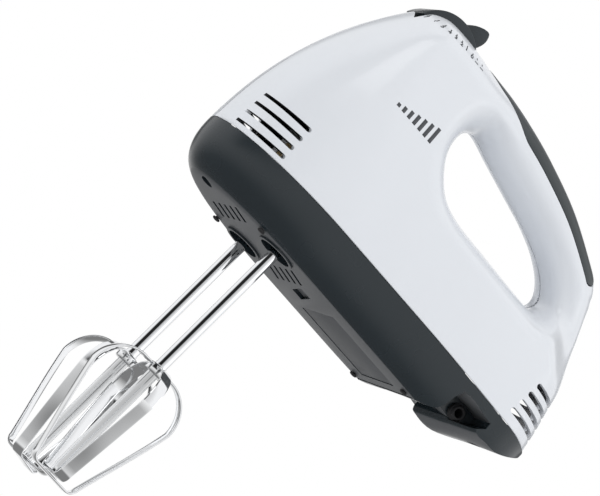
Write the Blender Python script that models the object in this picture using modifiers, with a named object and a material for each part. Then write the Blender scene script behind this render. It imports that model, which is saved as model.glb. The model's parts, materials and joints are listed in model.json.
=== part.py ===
"""Hand mixer with two beaters: housings, motor, worm drive, switch, ejector and beaters.

Frame: +Z up, beaters hang along -Z, nose at -X, heel at +X. The origin is on the flat underside of the
base, midway between the two beater axes. Lengths below are in millimetres and MM turns them into metres.
"""

import bisect
import math

import bmesh
import bpy
from mathutils import Matrix, Vector

MM = 0.001

# Driving dimensions, mm
SEAM_Z = 21.3            # plane where the white housing meets the dark base
GAP = 0.3                # clearance kept between touching pieces
WALL = 2.4               # housing wall
BODY_HALF = 40.0         # greatest half width of the body
HEEL_HALF = 33.0         # half width near the back end
HANDLE_HALF = 15.0       # half width of the handle
NOSE_X = -52.0           # nose at the seam
BACK_X = 140.5           # back end at the seam
NOSE_REACH = 60.0        # length of the rounded nose in plan
BACK_REACH = 25.0        # length of the rounded back in plan
BEATER_Y = 19.0          # each beater axis from the middle plane
SHAFT_R = 2.6            # beater shaft
BEATER_TIP_Z = -126.2
CAGE_TOP_Z = -66.0
CAGE_R = 22.1
CAGE_FOOT_R = 11.5
STRIP_W = 5.4
STRIP_T = 1.0
MOTOR_Z = 33.5           # motor axis above the underside
WORM_R = 5.0             # worm pitch radius
GEAR_R = 14.0            # worm gear pitch radius
GEAR_TEETH = 22
ROTOR_R = 2.0            # motor shaft
SLIDER_X = -8.5          # slider pivot
SLIDER_Z = 105.0
SLIDER_R = 17.5          # outside of the slider band
SLIDER_HALF = 9.0        # half width of the slider band
SLIDER_WALL = 5.0        # thickness of the slider band
GRIP_HALF = 13.8         # half width of the grip strip
GRIP_ENDS = (12.5, 112.5)  # where the grip strip starts and ends
EJECT_X = 7.2            # ejector rod
GLAND = (102.6, 11.9)    # centre of the cord gland (x, z)
POCKET_Y = 17.5          # where the cord notch starts, from the middle plane
FEET = [(-13.0, 26.8), (76.8, 27.4), (-13.0, -26.8), (76.8, -27.4)]
SCREWS = {"front": (-36.5, -5.5), "back_left": (119.0, -16.0), "back_right": (119.0, 16.0)}

WORM_PITCH = 2.0 * math.pi * GEAR_R / GEAR_TEETH
LEAD_SLOPE = WORM_PITCH / (2.0 * math.pi * WORM_R)

# Outline of the housing from the nose dome along the handle, round its corner and down the back (x, z)
CROWN = [(-22.0, 116.0), (-14.0, 119.2), (-4.0, 119.9), (6.0, 119.4), (16.0, 118.5), (30.0, 118.3),
         (44.0, 117.0), (61.0, 113.9), (83.0, 107.9), (105.0, 98.4), (112.0, 94.4), (117.6, 88.0),
         (121.0, 81.0), (123.8, 75.6), (126.6, 70.0), (129.4, 62.5), (132.6, 51.0), (135.6, 39.5),
         (138.2, 30.0), (140.4, 18.0)]
CORNER = 11               # the point of the outline where the handle turns down into the back
# Edge of the hand hole on the middle plane, from its lower front corner upwards and round (x, z)
HOLE = [(30.0, 72.5), (24.6, 81.0), (24.0, 90.0), (28.0, 95.8), (33.0, 96.6), (44.0, 93.9), (61.0, 90.4),
        (75.0, 87.4), (88.0, 83.2), (97.0, 78.0), (101.6, 71.5), (98.0, 65.6), (88.0, 64.4), (60.0, 64.8),
        (45.0, 65.4), (36.0, 67.8)]
# Underside behind the flat, seen from the side: up to the cord groove, round the heel and to the back (x, z)
BELLY = [(80.4, -0.4), (89.5, 4.6), (92.6, 8.6), (94.4, 8.4), (95.0, 4.2), (97.5, 2.6),
         (108.0, 3.2), (124.0, 11.4), (136.5, 19.0), (142.0, 25.0)]


# ---------------------------------------------------------------- helpers

def clear_scene():
    for obj in list(bpy.data.objects):
        bpy.data.objects.remove(obj)


def new_collection(name):
    collection = bpy.data.collections.new(name)
    bpy.context.scene.collection.children.link(collection)
    return collection


def make_material(name, colour, roughness, metallic=0.0):
    material = bpy.data.materials.new(name)
    material.use_nodes = True
    shader = material.node_tree.nodes["Principled BSDF"]
    shader.inputs["Base Color"].default_value = (*colour, 1.0)
    shader.inputs["Roughness"].default_value = roughness
    shader.inputs["Metallic"].default_value = metallic
    return material


def keep(obj, material, parent=None):
    """Puts a finished piece in the mixer's collection with its material and, if it moves, its axis empty."""
    PARTS.objects.link(obj)
    obj.data.materials.clear()
    obj.data.materials.append(material)
    obj.data.shade_smooth()
    obj.data.set_sharp_from_angle(angle=math.radians(32))
    if parent is not None:
        obj.parent = parent
        obj.matrix_parent_inverse = Matrix.Translation(-parent.location)
    return obj


def hide(obj):
    """Puts a cutter or a joined helper in the collection that isn't part of the mixer."""
    CUTTERS.objects.link(obj)
    obj.hide_render = True
    obj.display_type = "WIRE"
    return obj


def axis_empty(name, x, y, z):
    empty = bpy.data.objects.new(name, None)
    empty.location = (x * MM, y * MM, z * MM)
    PARTS.objects.link(empty)
    return empty


def mesh_object(name, bm):
    bmesh.ops.recalc_face_normals(bm, faces=bm.faces)
    mesh = bpy.data.meshes.new(name)
    bm.to_mesh(mesh)
    bm.free()
    return bpy.data.objects.new(name, mesh)


def box(name, xs, ys, zs):
    bm = bmesh.new()
    bmesh.ops.create_cube(bm, size=1.0)
    size = Vector((xs[1] - xs[0], ys[1] - ys[0], zs[1] - zs[0])) * MM
    centre = Vector((xs[0] + xs[1], ys[0] + ys[1], zs[0] + zs[1])) * (MM / 2)
    for vert in bm.verts:
        vert.co = Vector((vert.co.x * size.x, vert.co.y * size.y, vert.co.z * size.z)) + centre
    return mesh_object(name, bm)


AIM = {"X": Matrix.Rotation(math.pi / 2, 4, "Y"), "Y": Matrix.Rotation(-math.pi / 2, 4, "X"), "Z": Matrix()}


def rod(name, axis, centre, radius, low, high, segments=24, top_radius=None):
    """A cylinder or cone along an axis, from low to high, round the other two coordinates of centre."""
    bm = bmesh.new()
    bmesh.ops.create_cone(bm, cap_ends=True, segments=segments, radius1=radius * MM,
                          radius2=(radius if top_radius is None else top_radius) * MM,
                          depth=(high - low) * MM)
    place = Vector(centre) * MM
    place["XYZ".index(axis)] = (low + high) * MM / 2
    bmesh.ops.transform(bm, matrix=Matrix.Translation(place) @ AIM[axis], verts=bm.verts)
    return mesh_object(name, bm)


def turned(name, profile, axis="Z", centre=(0, 0, 0), steps=24):
    """A turned shape: a profile of (radius, height), open where it starts on the axis."""
    mesh = bpy.data.meshes.new(name)
    area = sum(a[0] * b[1] - b[0] * a[1] for a, b in zip(profile, profile[1:] + profile[:1]))
    down = profile if area < 0 else profile[::-1]
    points = [(r * MM, 0.0, h * MM) for r, h in down]
    last = len(points) - (1 if profile[0][0] == 0 else 0)
    edges = [(i, (i + 1) % len(points)) for i in range(last)]
    mesh.from_pydata(points, edges, [])
    obj = bpy.data.objects.new(name, mesh)
    obj.matrix_world = Matrix.Translation(Vector(centre) * MM) @ AIM[axis]
    screw = obj.modifiers.new("turn", "SCREW")
    screw.steps = steps
    screw.render_steps = steps
    screw.use_merge_vertices = True
    screw.merge_threshold = 0.00001
    screw.use_smooth_shade = True
    return obj


def ring(name, axis, centre, inner, outer, low, high, steps=16):
    return turned(name, [(outer, high), (outer, low), (inner, low), (inner, high)], axis, centre, steps)


def prism(name, outline, low, high, plane="XZ"):
    """A flat outline pulled out along the axis that its plane leaves out."""
    order = {"XZ": (0, 2, 1), "XY": (0, 1, 2), "YZ": (1, 2, 0)}[plane]
    bm = bmesh.new()
    verts = []
    for a, b in outline:
        point = Vector((0, 0, 0))
        point[order[0]] = a * MM
        point[order[1]] = b * MM
        point[order[2]] = low * MM
        verts.append(bm.verts.new(point))
    face = bm.faces.new(verts)
    moved = bmesh.ops.extrude_face_region(bm, geom=[face])
    shift = Vector((0, 0, 0))
    shift[order[2]] = (high - low) * MM
    bmesh.ops.translate(bm, vec=shift, verts=[v for v in moved["geom"] if isinstance(v, bmesh.types.BMVert)])
    return mesh_object(name, bm)


def boolean(obj, other, operation):
    modifier = obj.modifiers.new(operation.lower(), "BOOLEAN")
    modifier.operation = operation
    modifier.object = hide(other)
    return obj


def cut(obj, *others):
    for other in others:
        boolean(obj, other, "DIFFERENCE")
    return obj


def join(obj, *others):
    for other in others:
        boolean(obj, other, "UNION")
    return obj


def bevel(obj, width, segments=2):
    modifier = obj.modifiers.new("edges", "BEVEL")
    modifier.width = width * MM
    modifier.segments = segments
    modifier.limit_method = "ANGLE"
    return obj


def wire(name, points, radius, sides=2, cyclic=False):
    """A round wire through points, as a mesh with its caps welded."""
    curve = bpy.data.curves.new(name, "CURVE")
    curve.dimensions = "3D"
    curve.bevel_depth = radius * MM
    curve.bevel_resolution = sides
    curve.use_fill_caps = True
    spline = curve.splines.new("POLY")
    spline.points.add(len(points) - 1)
    for slot, point in zip(spline.points, points):
        slot.co = (point[0] * MM, point[1] * MM, point[2] * MM, 1.0)
    spline.use_cyclic_u = cyclic
    source = bpy.data.objects.new(name + "_path", curve)
    CUTTERS.objects.link(source)
    mesh = bpy.data.meshes.new_from_object(source.evaluated_get(bpy.context.evaluated_depsgraph_get()))
    bm = bmesh.new()
    bm.from_mesh(mesh)
    bmesh.ops.remove_doubles(bm, verts=bm.verts, dist=0.000001)
    bpy.data.objects.remove(source)
    return mesh_object(name, bm)


def smooth_step(value, low, high):
    t = min(max((value - low) / (high - low), 0.0), 1.0)
    return t * t * (3.0 - 2.0 * t)


def mix(a, b, t):
    return a + (b - a) * t


def spline_at(points, t):
    """Catmull-Rom point at t, where whole numbers are the given points. It runs straight past the ends."""
    i = min(max(int(math.floor(t)), 0), len(points) - 2)
    u = t - i
    p1, p2 = Vector(points[i]), Vector(points[i + 1])
    p0 = Vector(points[i - 1]) if i > 0 else 2 * p1 - p2
    p3 = Vector(points[i + 2]) if i + 2 < len(points) else 2 * p2 - p1
    return 0.5 * (2 * p1 + (p2 - p0) * u + (2 * p0 - 5 * p1 + 4 * p2 - p3) * u * u
                  + (3 * p1 - p0 - 3 * p2 + p3) * u * u * u)


# ---------------------------------------------------------------- shape of the housings

def front_x(z):
    return NOSE_X + 30.0 * (max(z - 21.0, 0.0) / 95.0) ** 2.2


CROWN_LINE = [spline_at(CROWN, k / 16) for k in range(16 * (len(CROWN) - 1) + 1)]
CROWN_XS = [point.x for point in CROWN_LINE]
DEPTHS = [-point.y for point in CROWN_LINE[16 * CORNER:]]


def back_x(z):
    """Back end of the housing at height z."""
    i = min(max(bisect.bisect_left(DEPTHS, -z), 1), len(DEPTHS) - 1)
    above, below = CROWN_LINE[16 * CORNER + i - 1], CROWN_LINE[16 * CORNER + i]
    return mix(above.x, below.x, min(max((above.y - z) / (above.y - below.y), 0.0), 1.0))


def crown_z(x):
    """Height of the outline above x. Before its start it follows the nose down."""
    if x <= CROWN[0][0]:
        return 21.0 + 95.0 * (max(x - NOSE_X, 0.0) / 30.0) ** (1 / 2.2)
    i = min(max(bisect.bisect_left(CROWN_XS, x), 1), len(CROWN_XS) - 1)
    before, after = CROWN_LINE[i - 1], CROWN_LINE[i]
    return mix(before.y, after.y, min((x - before.x) / (after.x - before.x), 1.0))


def hole_at(t):
    """Point on the closed edge of the hand hole, t from 0 to the number of its points."""
    count = len(HOLE)
    i = int(math.floor(t)) % count
    around = [HOLE[(i + k - 1) % count] for k in range(4)]
    return spline_at(around, 1 + t - math.floor(t))


HOLE_EDGE = [hole_at(k / 4) for k in range(4 * len(HOLE))]


def hole_distance(x, z):
    point = Vector((x, z))
    best = 1e9
    for a, b in zip(HOLE_EDGE, HOLE_EDGE[1:] + HOLE_EDGE[:1]):
        along = min(max((point - a).dot(b - a) / (b - a).length_squared, 0.0), 1.0)
        best = min(best, (point - (a + (b - a) * along)).length)
    return best


def pinch(distance, reach):
    """0 well inside, growing without limit at an edge, so that a section ends in a round edge."""
    t = min(max(distance / reach, 1e-6), 1.0)
    return 1.0 / (t * (2.0 - t)) - 1.0


def widest(x, z):
    """Half width before the edges are rounded off."""
    body = mix(BODY_HALF, HEEL_HALF, smooth_step(x, 60, 140)) - 10.0 * (max(z - 21.0, 0.0) / 66.0) ** 1.5
    floor = mix(66, 46, smooth_step(x, 90, 122))
    return mix(body, HANDLE_HALF, smooth_step(x, 8, 46) * smooth_step(z, floor, floor + 24))


def half_width(x, z):
    """Half width of the white housing at a point of the middle plane."""
    spread = pinch(x - front_x(z), mix(NOSE_REACH, 12, smooth_step(z, 21, 122)))
    spread += pinch(back_x(z) - x, mix(BACK_REACH, 14, smooth_step(z, 21, 85)))
    if z > 50:
        spread += pinch(crown_z(x) - z, mix(14, 12.5, smooth_step(x, 5, 45)))
        spread += pinch(hole_distance(x, z), mix(15, 12, smooth_step(x, 20, 45)))
    return widest(x, z) / math.sqrt(1.0 + spread)


def base_inset(z):
    """How far the side of the base has drawn in at height z."""
    drop = min(max((SEAM_Z - z) / SEAM_Z, 0.0), 1.0)
    return 4.6 * drop + 3.9 * (1.0 - (1.0 - drop ** 4) ** 0.5)


def base_front_x(z):
    drop = min(max((SEAM_Z - z) / SEAM_Z, 0.0), 1.0)
    return NOSE_X + 17.0 * (1.0 - (1.0 - drop ** 2.5) ** 0.4)


def base_half_width(x, z, thinner=0.0):
    start = base_front_x(z) + thinner
    end = BACK_X - thinner
    spread = pinch(x - start, NOSE_REACH - 0.5 * base_inset(z))
    spread += pinch(end - x, BACK_REACH)
    wide = mix(BODY_HALF, HEEL_HALF, smooth_step(x, 60, 140)) - base_inset(z) - thinner
    return wide / math.sqrt(1.0 + spread)


# ---------------------------------------------------------------- white housing

def outer_edge(columns):
    """Pairs of matching points round the outside and round the hand hole."""
    foot = SEAM_Z - 3.0
    pairs = []

    def stretch(count, outside, hole_from, hole_to):
        for k in range(count):
            t = k / count
            pairs.append((outside(t), hole_at(mix(hole_from, hole_to, t))))

    scale = columns / 50
    last = len(CROWN) - 1

    def nose(t):
        z = mix(foot, CROWN[0][1], t ** 0.9)
        return Vector((front_x(z), z))

    stretch(round(11 * scale), nose, 0, 1.6)
    stretch(round(8 * scale), lambda t: spline_at(CROWN, 5 * t), 1.6, 4)
    stretch(round(9 * scale), lambda t: spline_at(CROWN, mix(5, CORNER, t)), 4, 9)
    stretch(round(8 * scale), lambda t: spline_at(CROWN, mix(CORNER, last, t)), 9, 11.5)
    stretch(round(14 * scale), lambda t: Vector((mix(CROWN[-1][0], NOSE_X, t), foot)), 11.5, 16)
    return pairs


def housing_half(name, side, columns=42, rows=8):
    """One half of the white housing: an open skin over the side view, made solid and trimmed."""
    bm = bmesh.new()
    grid = []
    for outside, inside in outer_edge(columns):
        line = []
        for j in range(rows + 1):
            t = (1.0 - math.cos(math.pi * j / rows)) / 2
            x, z = inside.lerp(outside, t)
            line.append(bm.verts.new(Vector((x, side * half_width(x, z), z)) * MM))
        grid.append(line)
    for k in range(len(grid)):
        here, after = grid[k], grid[(k + 1) % len(grid)]
        for j in range(rows):
            bm.faces.new((here[j], here[j + 1], after[j + 1], after[j]))
    obj = mesh_object(name, bm)
    if sum(face.normal.y * face.area for face in obj.data.polygons) * side < 0:
        obj.data.flip_normals()
    wall = obj.modifiers.new("wall", "SOLIDIFY")
    wall.thickness = WALL * MM
    wall.offset = -1.0
    obj.modifiers.new("flat_faces", "TRIANGULATE")
    return obj


def front_vents(side):
    """Four slots that run from the side of the nose forward."""
    slots = []
    for k in range(4):
        z = 24.6 + 5.0 * k
        ys = (side * 14, side * 46)
        slots.append(box(f"front_vent_{side}_{k}", (-52, -28.8), (min(ys), max(ys)), (z - 0.9, z + 0.9)))
    return slots


def back_vents(side):
    """Four slots that wrap round the back corner."""
    slots = []
    for k in range(4):
        z = 27.0 + 5.0 * k
        ys = (side * 4, side * 46)
        xs = (112 + 0.6 * k, 150)
        slots.append(box(f"back_vent_{side}_{k}", xs, (min(ys), max(ys)), (z - 1.2, z + 1.2)))
    return slots


def crown_at(x, y):
    """Height of the housing's skin near the crown, at a distance y from the middle plane."""
    top = crown_z(x)
    low, high = top - 14.0, top
    for _ in range(22):
        z = (low + high) / 2
        if half_width(x, z) > abs(y):
            low = z
        else:
            high = z
    return (low + high) / 2


def strip_section(x, wide, lift):
    """Points across the crown at x, from one edge of the strip to the other, lifted off the skin."""
    points = []
    for k in range(-4, 5):
        y = wide * math.sin(math.pi * k / 8)
        slope = (crown_at(x, y + 0.2) - crown_at(x, y - 0.2)) / 0.4
        points.append(Vector((x, y, crown_at(x, y))) + lift * Vector((0.0, -slope, 1.0)).normalized())
    return points


def strip_solid(name, grow):
    """The grip strip, or with grow its recess: a band over the crown with a round front and two tails."""
    bm = bmesh.new()
    stations = 17
    first, last = GRIP_ENDS[0] - grow, GRIP_ENDS[1] + grow
    rings = []
    for i in range(stations + 1):
        u = i / stations
        x = mix(first, last, u)
        taper = min(1.0, u / 0.05 + 0.25, (1.0 - u) / 0.07 + 0.18)
        wide = (GRIP_HALF + grow) * math.sqrt(taper)
        over = strip_section(x, wide, 3.0 if grow else 0.45)
        under = strip_section(x, wide, -1.5 - grow)
        rings.append([bm.verts.new(p * MM) for p in over + under[::-1]])
    for a, b in zip(rings, rings[1:]):
        for j in range(len(a)):
            n = (j + 1) % len(a)
            bm.faces.new((a[j], a[n], b[n], b[j]))
    bm.faces.new(rings[0])
    bm.faces.new(rings[-1][::-1])
    strip = mesh_object(name, bm)
    middle = GRIP_ENDS[1] + 0.5
    reach, half = 10.0 - grow, 9.8 - grow
    angles = [math.pi * k / 12 for k in range(-6, 7)]
    fork = [(middle - reach * math.cos(a), half * math.sin(a)) for a in angles]
    fork += [(middle + 8.0, half), (middle + 8.0, -half)]
    cut(strip, prism(f"{name}_fork", fork, 60, 140, "XY"))
    return strip


def slider_room():
    """Outline of the slot for the fin, open at the top, run together with the round room for the slider."""
    radius = SLIDER_R + GAP
    front, back = -24.2, 8.6
    start = math.degrees(math.acos((front - SLIDER_X) / radius))
    end = 360 + math.degrees(math.acos((back - SLIDER_X) / radius))
    return [(back, 140), (front, 140)] + arc_points(radius, start, end, 34)


def make_upper_housing():
    for side, word in ((-1, "left"), (1, "right")):
        half = housing_half(f"upper_housing_{word}", side)
        apart = box(f"middle_{word}", (-80, 170), tuple(sorted((side * (GAP / 2), -side * 60))), (0, 160))
        below = box(f"below_{word}", (-80, 170), (-70, 70), (-10, SEAM_Z + GAP / 2))
        cut(half, apart, below)
        room = prism(f"slider_room_{word}", slider_room(), -SLIDER_HALF - 0.4, SLIDER_HALF + 0.4)
        cut(half, room, strip_solid(f"strip_room_{word}", GAP))
        cut(half, *front_vents(side), *back_vents(side))
        low = SEAM_Z + GAP / 2
        nose_rib = box(f"nose_rib_{word}", (-50.6, -36.5), tuple(sorted((side * 4.6, side * 6.4))), (low, 34))
        heel_rib = box(f"heel_rib_{word}", (118.1, 119.9), tuple(sorted((side * 16, side * 31.4))), (low, 34))
        join(half, nose_rib, heel_rib)
        for k, (x, y) in enumerate(((-36.5, 5.5), (119.0, 16.0))):
            boss = rod(f"boss_{word}_{k}", "Z", (x, side * y, 0), 3.4, low + 0.05, 35, 16)
            pilot = rod(f"pilot_{word}_{k}", "Z", (x, side * y, 0), 1.45, 0, 32, 12)
            join(half, boss)
            cut(half, pilot)
        keep(half, WHITE)


def make_grip_strip():
    keep(strip_solid("grip_strip", 0.0), DARK)


# ---------------------------------------------------------------- dark base

def plan_loft(name, levels, half, count=20):
    """A solid of stacked plan sections. levels are (z, start x, end x), and half gives the half width."""
    bm = bmesh.new()
    loops = []
    for z, start, end in levels:
        loop = []
        for side in (-1, 1):
            steps = range(count + 1) if side < 0 else range(count - 1, 0, -1)
            for k in steps:
                x = mix(start, end, (1.0 - math.cos(math.pi * k / count)) / 2)
                y = 0.0 if k in (0, count) else side * half(x, z)
                loop.append(bm.verts.new(Vector((x, y, z)) * MM))
        loops.append(loop)
    for a, b in zip(loops, loops[1:]):
        for j in range(len(a)):
            n = (j + 1) % len(a)
            bm.faces.new((a[j], a[n], b[n], b[j]))
    bm.faces.new(loops[0])
    bm.faces.new(loops[-1][::-1])
    return mesh_object(name, bm)


def belly_section(y):
    """Outline of the space under the base at y. Sideways the heel's lip sweeps back and up."""
    back, rise = 0.39 * abs(y), 0.215 * abs(y)
    ceiling = rise if abs(y) > POCKET_Y else 0.0
    shifts = [(0, 0), (0, 0), (0, ceiling), (back, ceiling), (back, rise), (back, rise), (0.6 * back, rise)]
    section = [(x + right, z + up) for (x, z), (right, up) in zip(BELLY, shifts)] + BELLY[len(shifts):]
    return section + [(160, 25), (160, -40), (80.4, -40)]


def belly_solid(name):
    bm = bmesh.new()
    half = [0.0, 9.0, POCKET_Y - 0.1, POCKET_Y + 0.8, 26.0, 34.0, 40.0]
    loops = []
    for y in [-y for y in half[:0:-1]] + half:
        loops.append([bm.verts.new(Vector((x, y, z)) * MM) for x, z in belly_section(y)])
    for a, b in zip(loops, loops[1:]):
        for j in range(len(a)):
            n = (j + 1) % len(a)
            bm.faces.new((a[j], a[n], b[n], b[j]))
    bm.faces.new(loops[0])
    bm.faces.new(loops[-1][::-1])
    bmesh.ops.triangulate(bm, faces=bm.faces)
    bmesh.ops.recalc_face_normals(bm, faces=bm.faces)
    return mesh_object(name, bm)


def make_base():
    top = SEAM_Z - GAP / 2
    heights = [top, 16.5, 11.5, 7.0, 3.6, 1.2, 0.0]
    base = plan_loft("base_housing", [(z, base_front_x(z), BACK_X) for z in heights], base_half_width)
    below = belly_solid("belly_cut")
    low = [top + 4, top, 17.0, 12.0, 7.0, WALL + 0.1]
    room = plan_loft("base_room", [(z, base_front_x(z) + WALL, BACK_X - WALL) for z in low],
                     lambda x, z: base_half_width(x, z, WALL), 16)
    heel_rest = prism("heel_block", [(84, 0), (90, 8), (90, 19.3), (150, 19.3), (150, -5), (84, -5)], -60, 60)
    cut(room, heel_rest)
    cut(base, below, room)
    pocket = [(84, -8), (91.5, 5), (92.6, 8), (91.5, 16.4), (110.5, 16.4), (107.5, 10.2), (95.4, 3.7),
              (93.8, 4.6)]
    for side, word in ((-1, "left"), (1, "right")):
        ys = sorted((side * POCKET_Y, side * 50))
        cut(base, prism(f"cord_notch_{word}", pocket, *ys))
    for side, word in ((-1, "left"), (1, "right")):
        centre = (0, side * BEATER_Y, 0)
        join(base, rod(f"rim_{word}", "Z", centre, 9.0, -0.9, 6.5, 30))
        cut(base, rod(f"beater_hole_{word}", "Z", centre, 7.5, -3, 12, 28))
    cut(base, box("window", (23, 30), (-7, 8), (-1, 1.4)))
    cut(base, box("small_slot", (45.4, 50.6), (-5, -3.4), (-1, 1.2)))
    for word, (x, y) in SCREWS.items():
        floor = 5.6 if word == "front" else 15.2
        cut(base, rod(f"recess_{word}", "Z", (x, y, 0), 2.9, -2, floor, 16))
        cut(base, rod(f"screw_hole_{word}", "Z", (x, y, 0), 1.9, -2, 30, 12))
    cut(base, box("plate_recess", (37, 76), (-17.5, 18), (-1, 1.4)))
    for k in range(4):
        for x in (-22.0, 13.0):
            y = -14.5 + 8.0 * k
            bar = [(x, y), (x + 6.5, y + 4.2), (x + 6.5, y + 6.0), (x, y + 1.8)]
            if abs(y + 3) < 13:
                cut(base, prism(f"floor_vent_{k}_{x:.0f}", bar, -1, 6, "XY"))
    for k, (x, y) in enumerate(FEET):
        cut(base, rod(f"foot_hole_{k}", "Z", (x, y, 0), 1.2, -2, 8, 10))
    cut(base, rod("gland_hole", "Y", (GLAND[0], 0, GLAND[1]), 2.9, -26, -8, 16))
    cut(base, rod("cord_way", "Z", (GLAND[0], -10.5, 0), 2.2, GLAND[1], 22, 12))
    keep(base, DARK)


def make_base_fittings():
    for k, (x, y) in enumerate(FEET):
        stem = 0.9
        profile = [(0, 3.4), (stem, 3.4), (stem, -GAP), (1.7, -GAP), (1.7, -0.9), (1.2, -1.3), (0, -1.3)]
        keep(turned(f"foot_{k + 1}", profile, "Z", (x, y, 0), 12), RUBBER)
    plate = bevel(box("cover_plate", (37.3, 75.7), (-17.2, 17.7), (0.15, 1.1)), 0.3, 1)
    keep(plate, DARK_FLAT)
    tip = 31.0
    for word, (x, y) in SCREWS.items():
        seat = 2.4 if word == "front" else 12.0
        head = seat + 2.9
        profile = [(0, tip), (1.1, tip - 1.2), (1.1, head), (2.5, head), (2.5, seat + 0.6), (1.9, seat),
                   (0.9, seat), (0.6, seat + 1.0), (0, seat + 1.0)]
        keep(turned(f"base_screw_{word}", profile, "Z", (x, y, 0), 14), STEEL)
    profile = [(3.6, -17.8), (3.6, -20.4), (2.9, -22.0), (1.8, -22.0), (1.8, -10.0), (2.6, -10.0), (2.6, -17.8)]
    gland = turned("cord_gland", profile, "Y", (GLAND[0], 0, GLAND[1]), 16)
    keep(gland, RUBBER)


# ---------------------------------------------------------------- motor

def make_motor():
    z = MOTOR_Z
    shaft = turned("motor_shaft", [(0, 97), (1.5, 97), (ROTOR_R, 96.4), (ROTOR_R, -22.6), (1.6, -23.2),
                                   (0, -23.2)], "X", (0, 0, z), 20)
    keep(shaft, STEEL, MOTOR_AXIS)
    make_worm()
    core = ring("armature_core", "X", (0, 0, z), ROTOR_R + GAP, 12.6, 45, 65, 30)
    for k in range(10):
        turn = Matrix.Translation(Vector((0, 0, z)) * MM) @ Matrix.Rotation(2 * math.pi * k / 10, 4, "X")
        slot = box(f"core_slot_{k}", (40, 70), (-1.3, 1.3), (8.4, 16))
        slot.matrix_world = turn
        cut(core, slot)
    keep(core, STEEL, MOTOR_AXIS)
    winding = turned("armature_winding", winding_end(44.6, 38.8), "X", (0, 0, z), 20)
    join(winding, turned("winding_back", winding_end(65.4, 71.0), "X", (0, 0, z), 20))
    for k in range(10):
        turn = Matrix.Translation(Vector((0, 0, z)) * MM) @ Matrix.Rotation(2 * math.pi * k / 10, 4, "X")
        bar = box(f"winding_bar_{k}", (43.5, 66.5), (-0.95, 0.95), (8.8, 11.0))
        bar.matrix_world = turn
        join(winding, bar)
    keep(winding, COPPER, MOTOR_AXIS)
    commutator = ring("commutator", "X", (0, 0, z), ROTOR_R + GAP, 7.6, 73.4, 83.4, 32)
    for k in range(12):
        spin = Matrix.Rotation(2 * math.pi * (k + 0.5) / 12, 4, "X")
        turn = Matrix.Translation(Vector((0, 0, z)) * MM) @ spin
        groove = box(f"bar_groove_{k}", (70, 90), (-0.25, 0.25), (6.9, 9))
        groove.matrix_world = turn
        cut(commutator, groove)
    keep(commutator, COPPER, MOTOR_AXIS)
    make_fan()
    make_stator()


def winding_end(root, tip):
    """Profile of the bulge of wire at one end of the armature, as (radius, x)."""
    middle = (root + tip) / 2
    return [(3.0, tip), (8.5, tip), (11.4, middle), (11.4, root), (3.0, root)]


def make_worm():
    """Single-start worm: a core with a thread whose section follows the helix."""
    bm = bmesh.new()
    around = 14
    turns = 4.5
    root, tip, bore = 3.7, 6.0, ROTOR_R + GAP
    steps = int(around * turns)
    rows = []
    for k in range(steps + 1):
        x = WORM_PITCH * (k / around - turns / 2)
        angle = 2 * math.pi * x / WORM_PITCH
        row = []
        for dx, r in ((-1.28, 2.9), (-0.42, tip), (0.42, tip), (1.28, 2.9)):
            point = Vector((x + dx, r * math.cos(angle), MOTOR_Z + r * math.sin(angle)))
            row.append(bm.verts.new(point * MM))
        rows.append(row)
    for a, b in zip(rows, rows[1:]):
        for j in range(4):
            n = (j + 1) % 4
            bm.faces.new((a[j], a[n], b[n], b[j]))
    bm.faces.new(rows[0])
    bm.faces.new(rows[-1][::-1])
    thread = mesh_object("worm_thread", bm)
    body = ring("worm", "X", (0, 0, MOTOR_Z), bore, root, -13, 13, 14)
    keep(join(body, thread), STEEL, MOTOR_AXIS)


def make_fan():
    fan = ring("cooling_fan", "X", (0, 0, MOTOR_Z), ROTOR_R + GAP, 6.0, 25.4, 35.0, 24)
    join(fan, ring("fan_disc", "X", (0, 0, MOTOR_Z), 4.0, 18.5, 25.4, 26.8, 32))
    for k in range(9):
        turn = Matrix.Translation(Vector((0, 0, MOTOR_Z)) * MM) @ Matrix.Rotation(2 * math.pi * k / 9, 4, "X")
        blade = box(f"fan_blade_{k}", (26, 34.6), (-0.7, 0.7), (5, 18.2))
        blade.matrix_world = turn @ Matrix.Rotation(math.radians(14), 4, "X")
        join(fan, blade)
    keep(fan, BLACK, MOTOR_AXIS)


def make_stator():
    z = MOTOR_Z
    core = bevel(box("stator_core", (44.5, 65.5), (-21.5, 21.5), (z - 21.5, z + 21.5)), 5.0, 3)
    cut(core, rod("stator_bore", "X", (0, 0, z), 13.3, 40, 70, 40))
    for k, angle in enumerate((38, 142, 218, 322)):
        turn = Matrix.Translation(Vector((0, 0, z)) * MM) @ Matrix.Rotation(math.radians(angle), 4, "X")
        slot = box(f"coil_slot_{k}", (40, 70), (10, 19.6), (-3.0, 3.0))
        slot.matrix_world = turn
        cut(core, slot)
    keep(core, STEEL)
    for word, middle in (("upper", 90), ("lower", 270)):
        keep(wire(f"field_coil_{word}", saddle(middle), 2.2, 2, True), COPPER)


def saddle(middle):
    """Closed path of a field coil: straight through two slots, and arched over the armature at both ends."""
    radius, spread = 16.7, 52
    points = []
    for end, sweep in ((69.6, 1), (40.4, -1)):
        for k in range(9):
            angle = math.radians(middle + sweep * (-spread + 2 * spread * k / 8))
            points.append((end, radius * math.cos(angle), MOTOR_Z + radius * math.sin(angle)))
    return points


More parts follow.
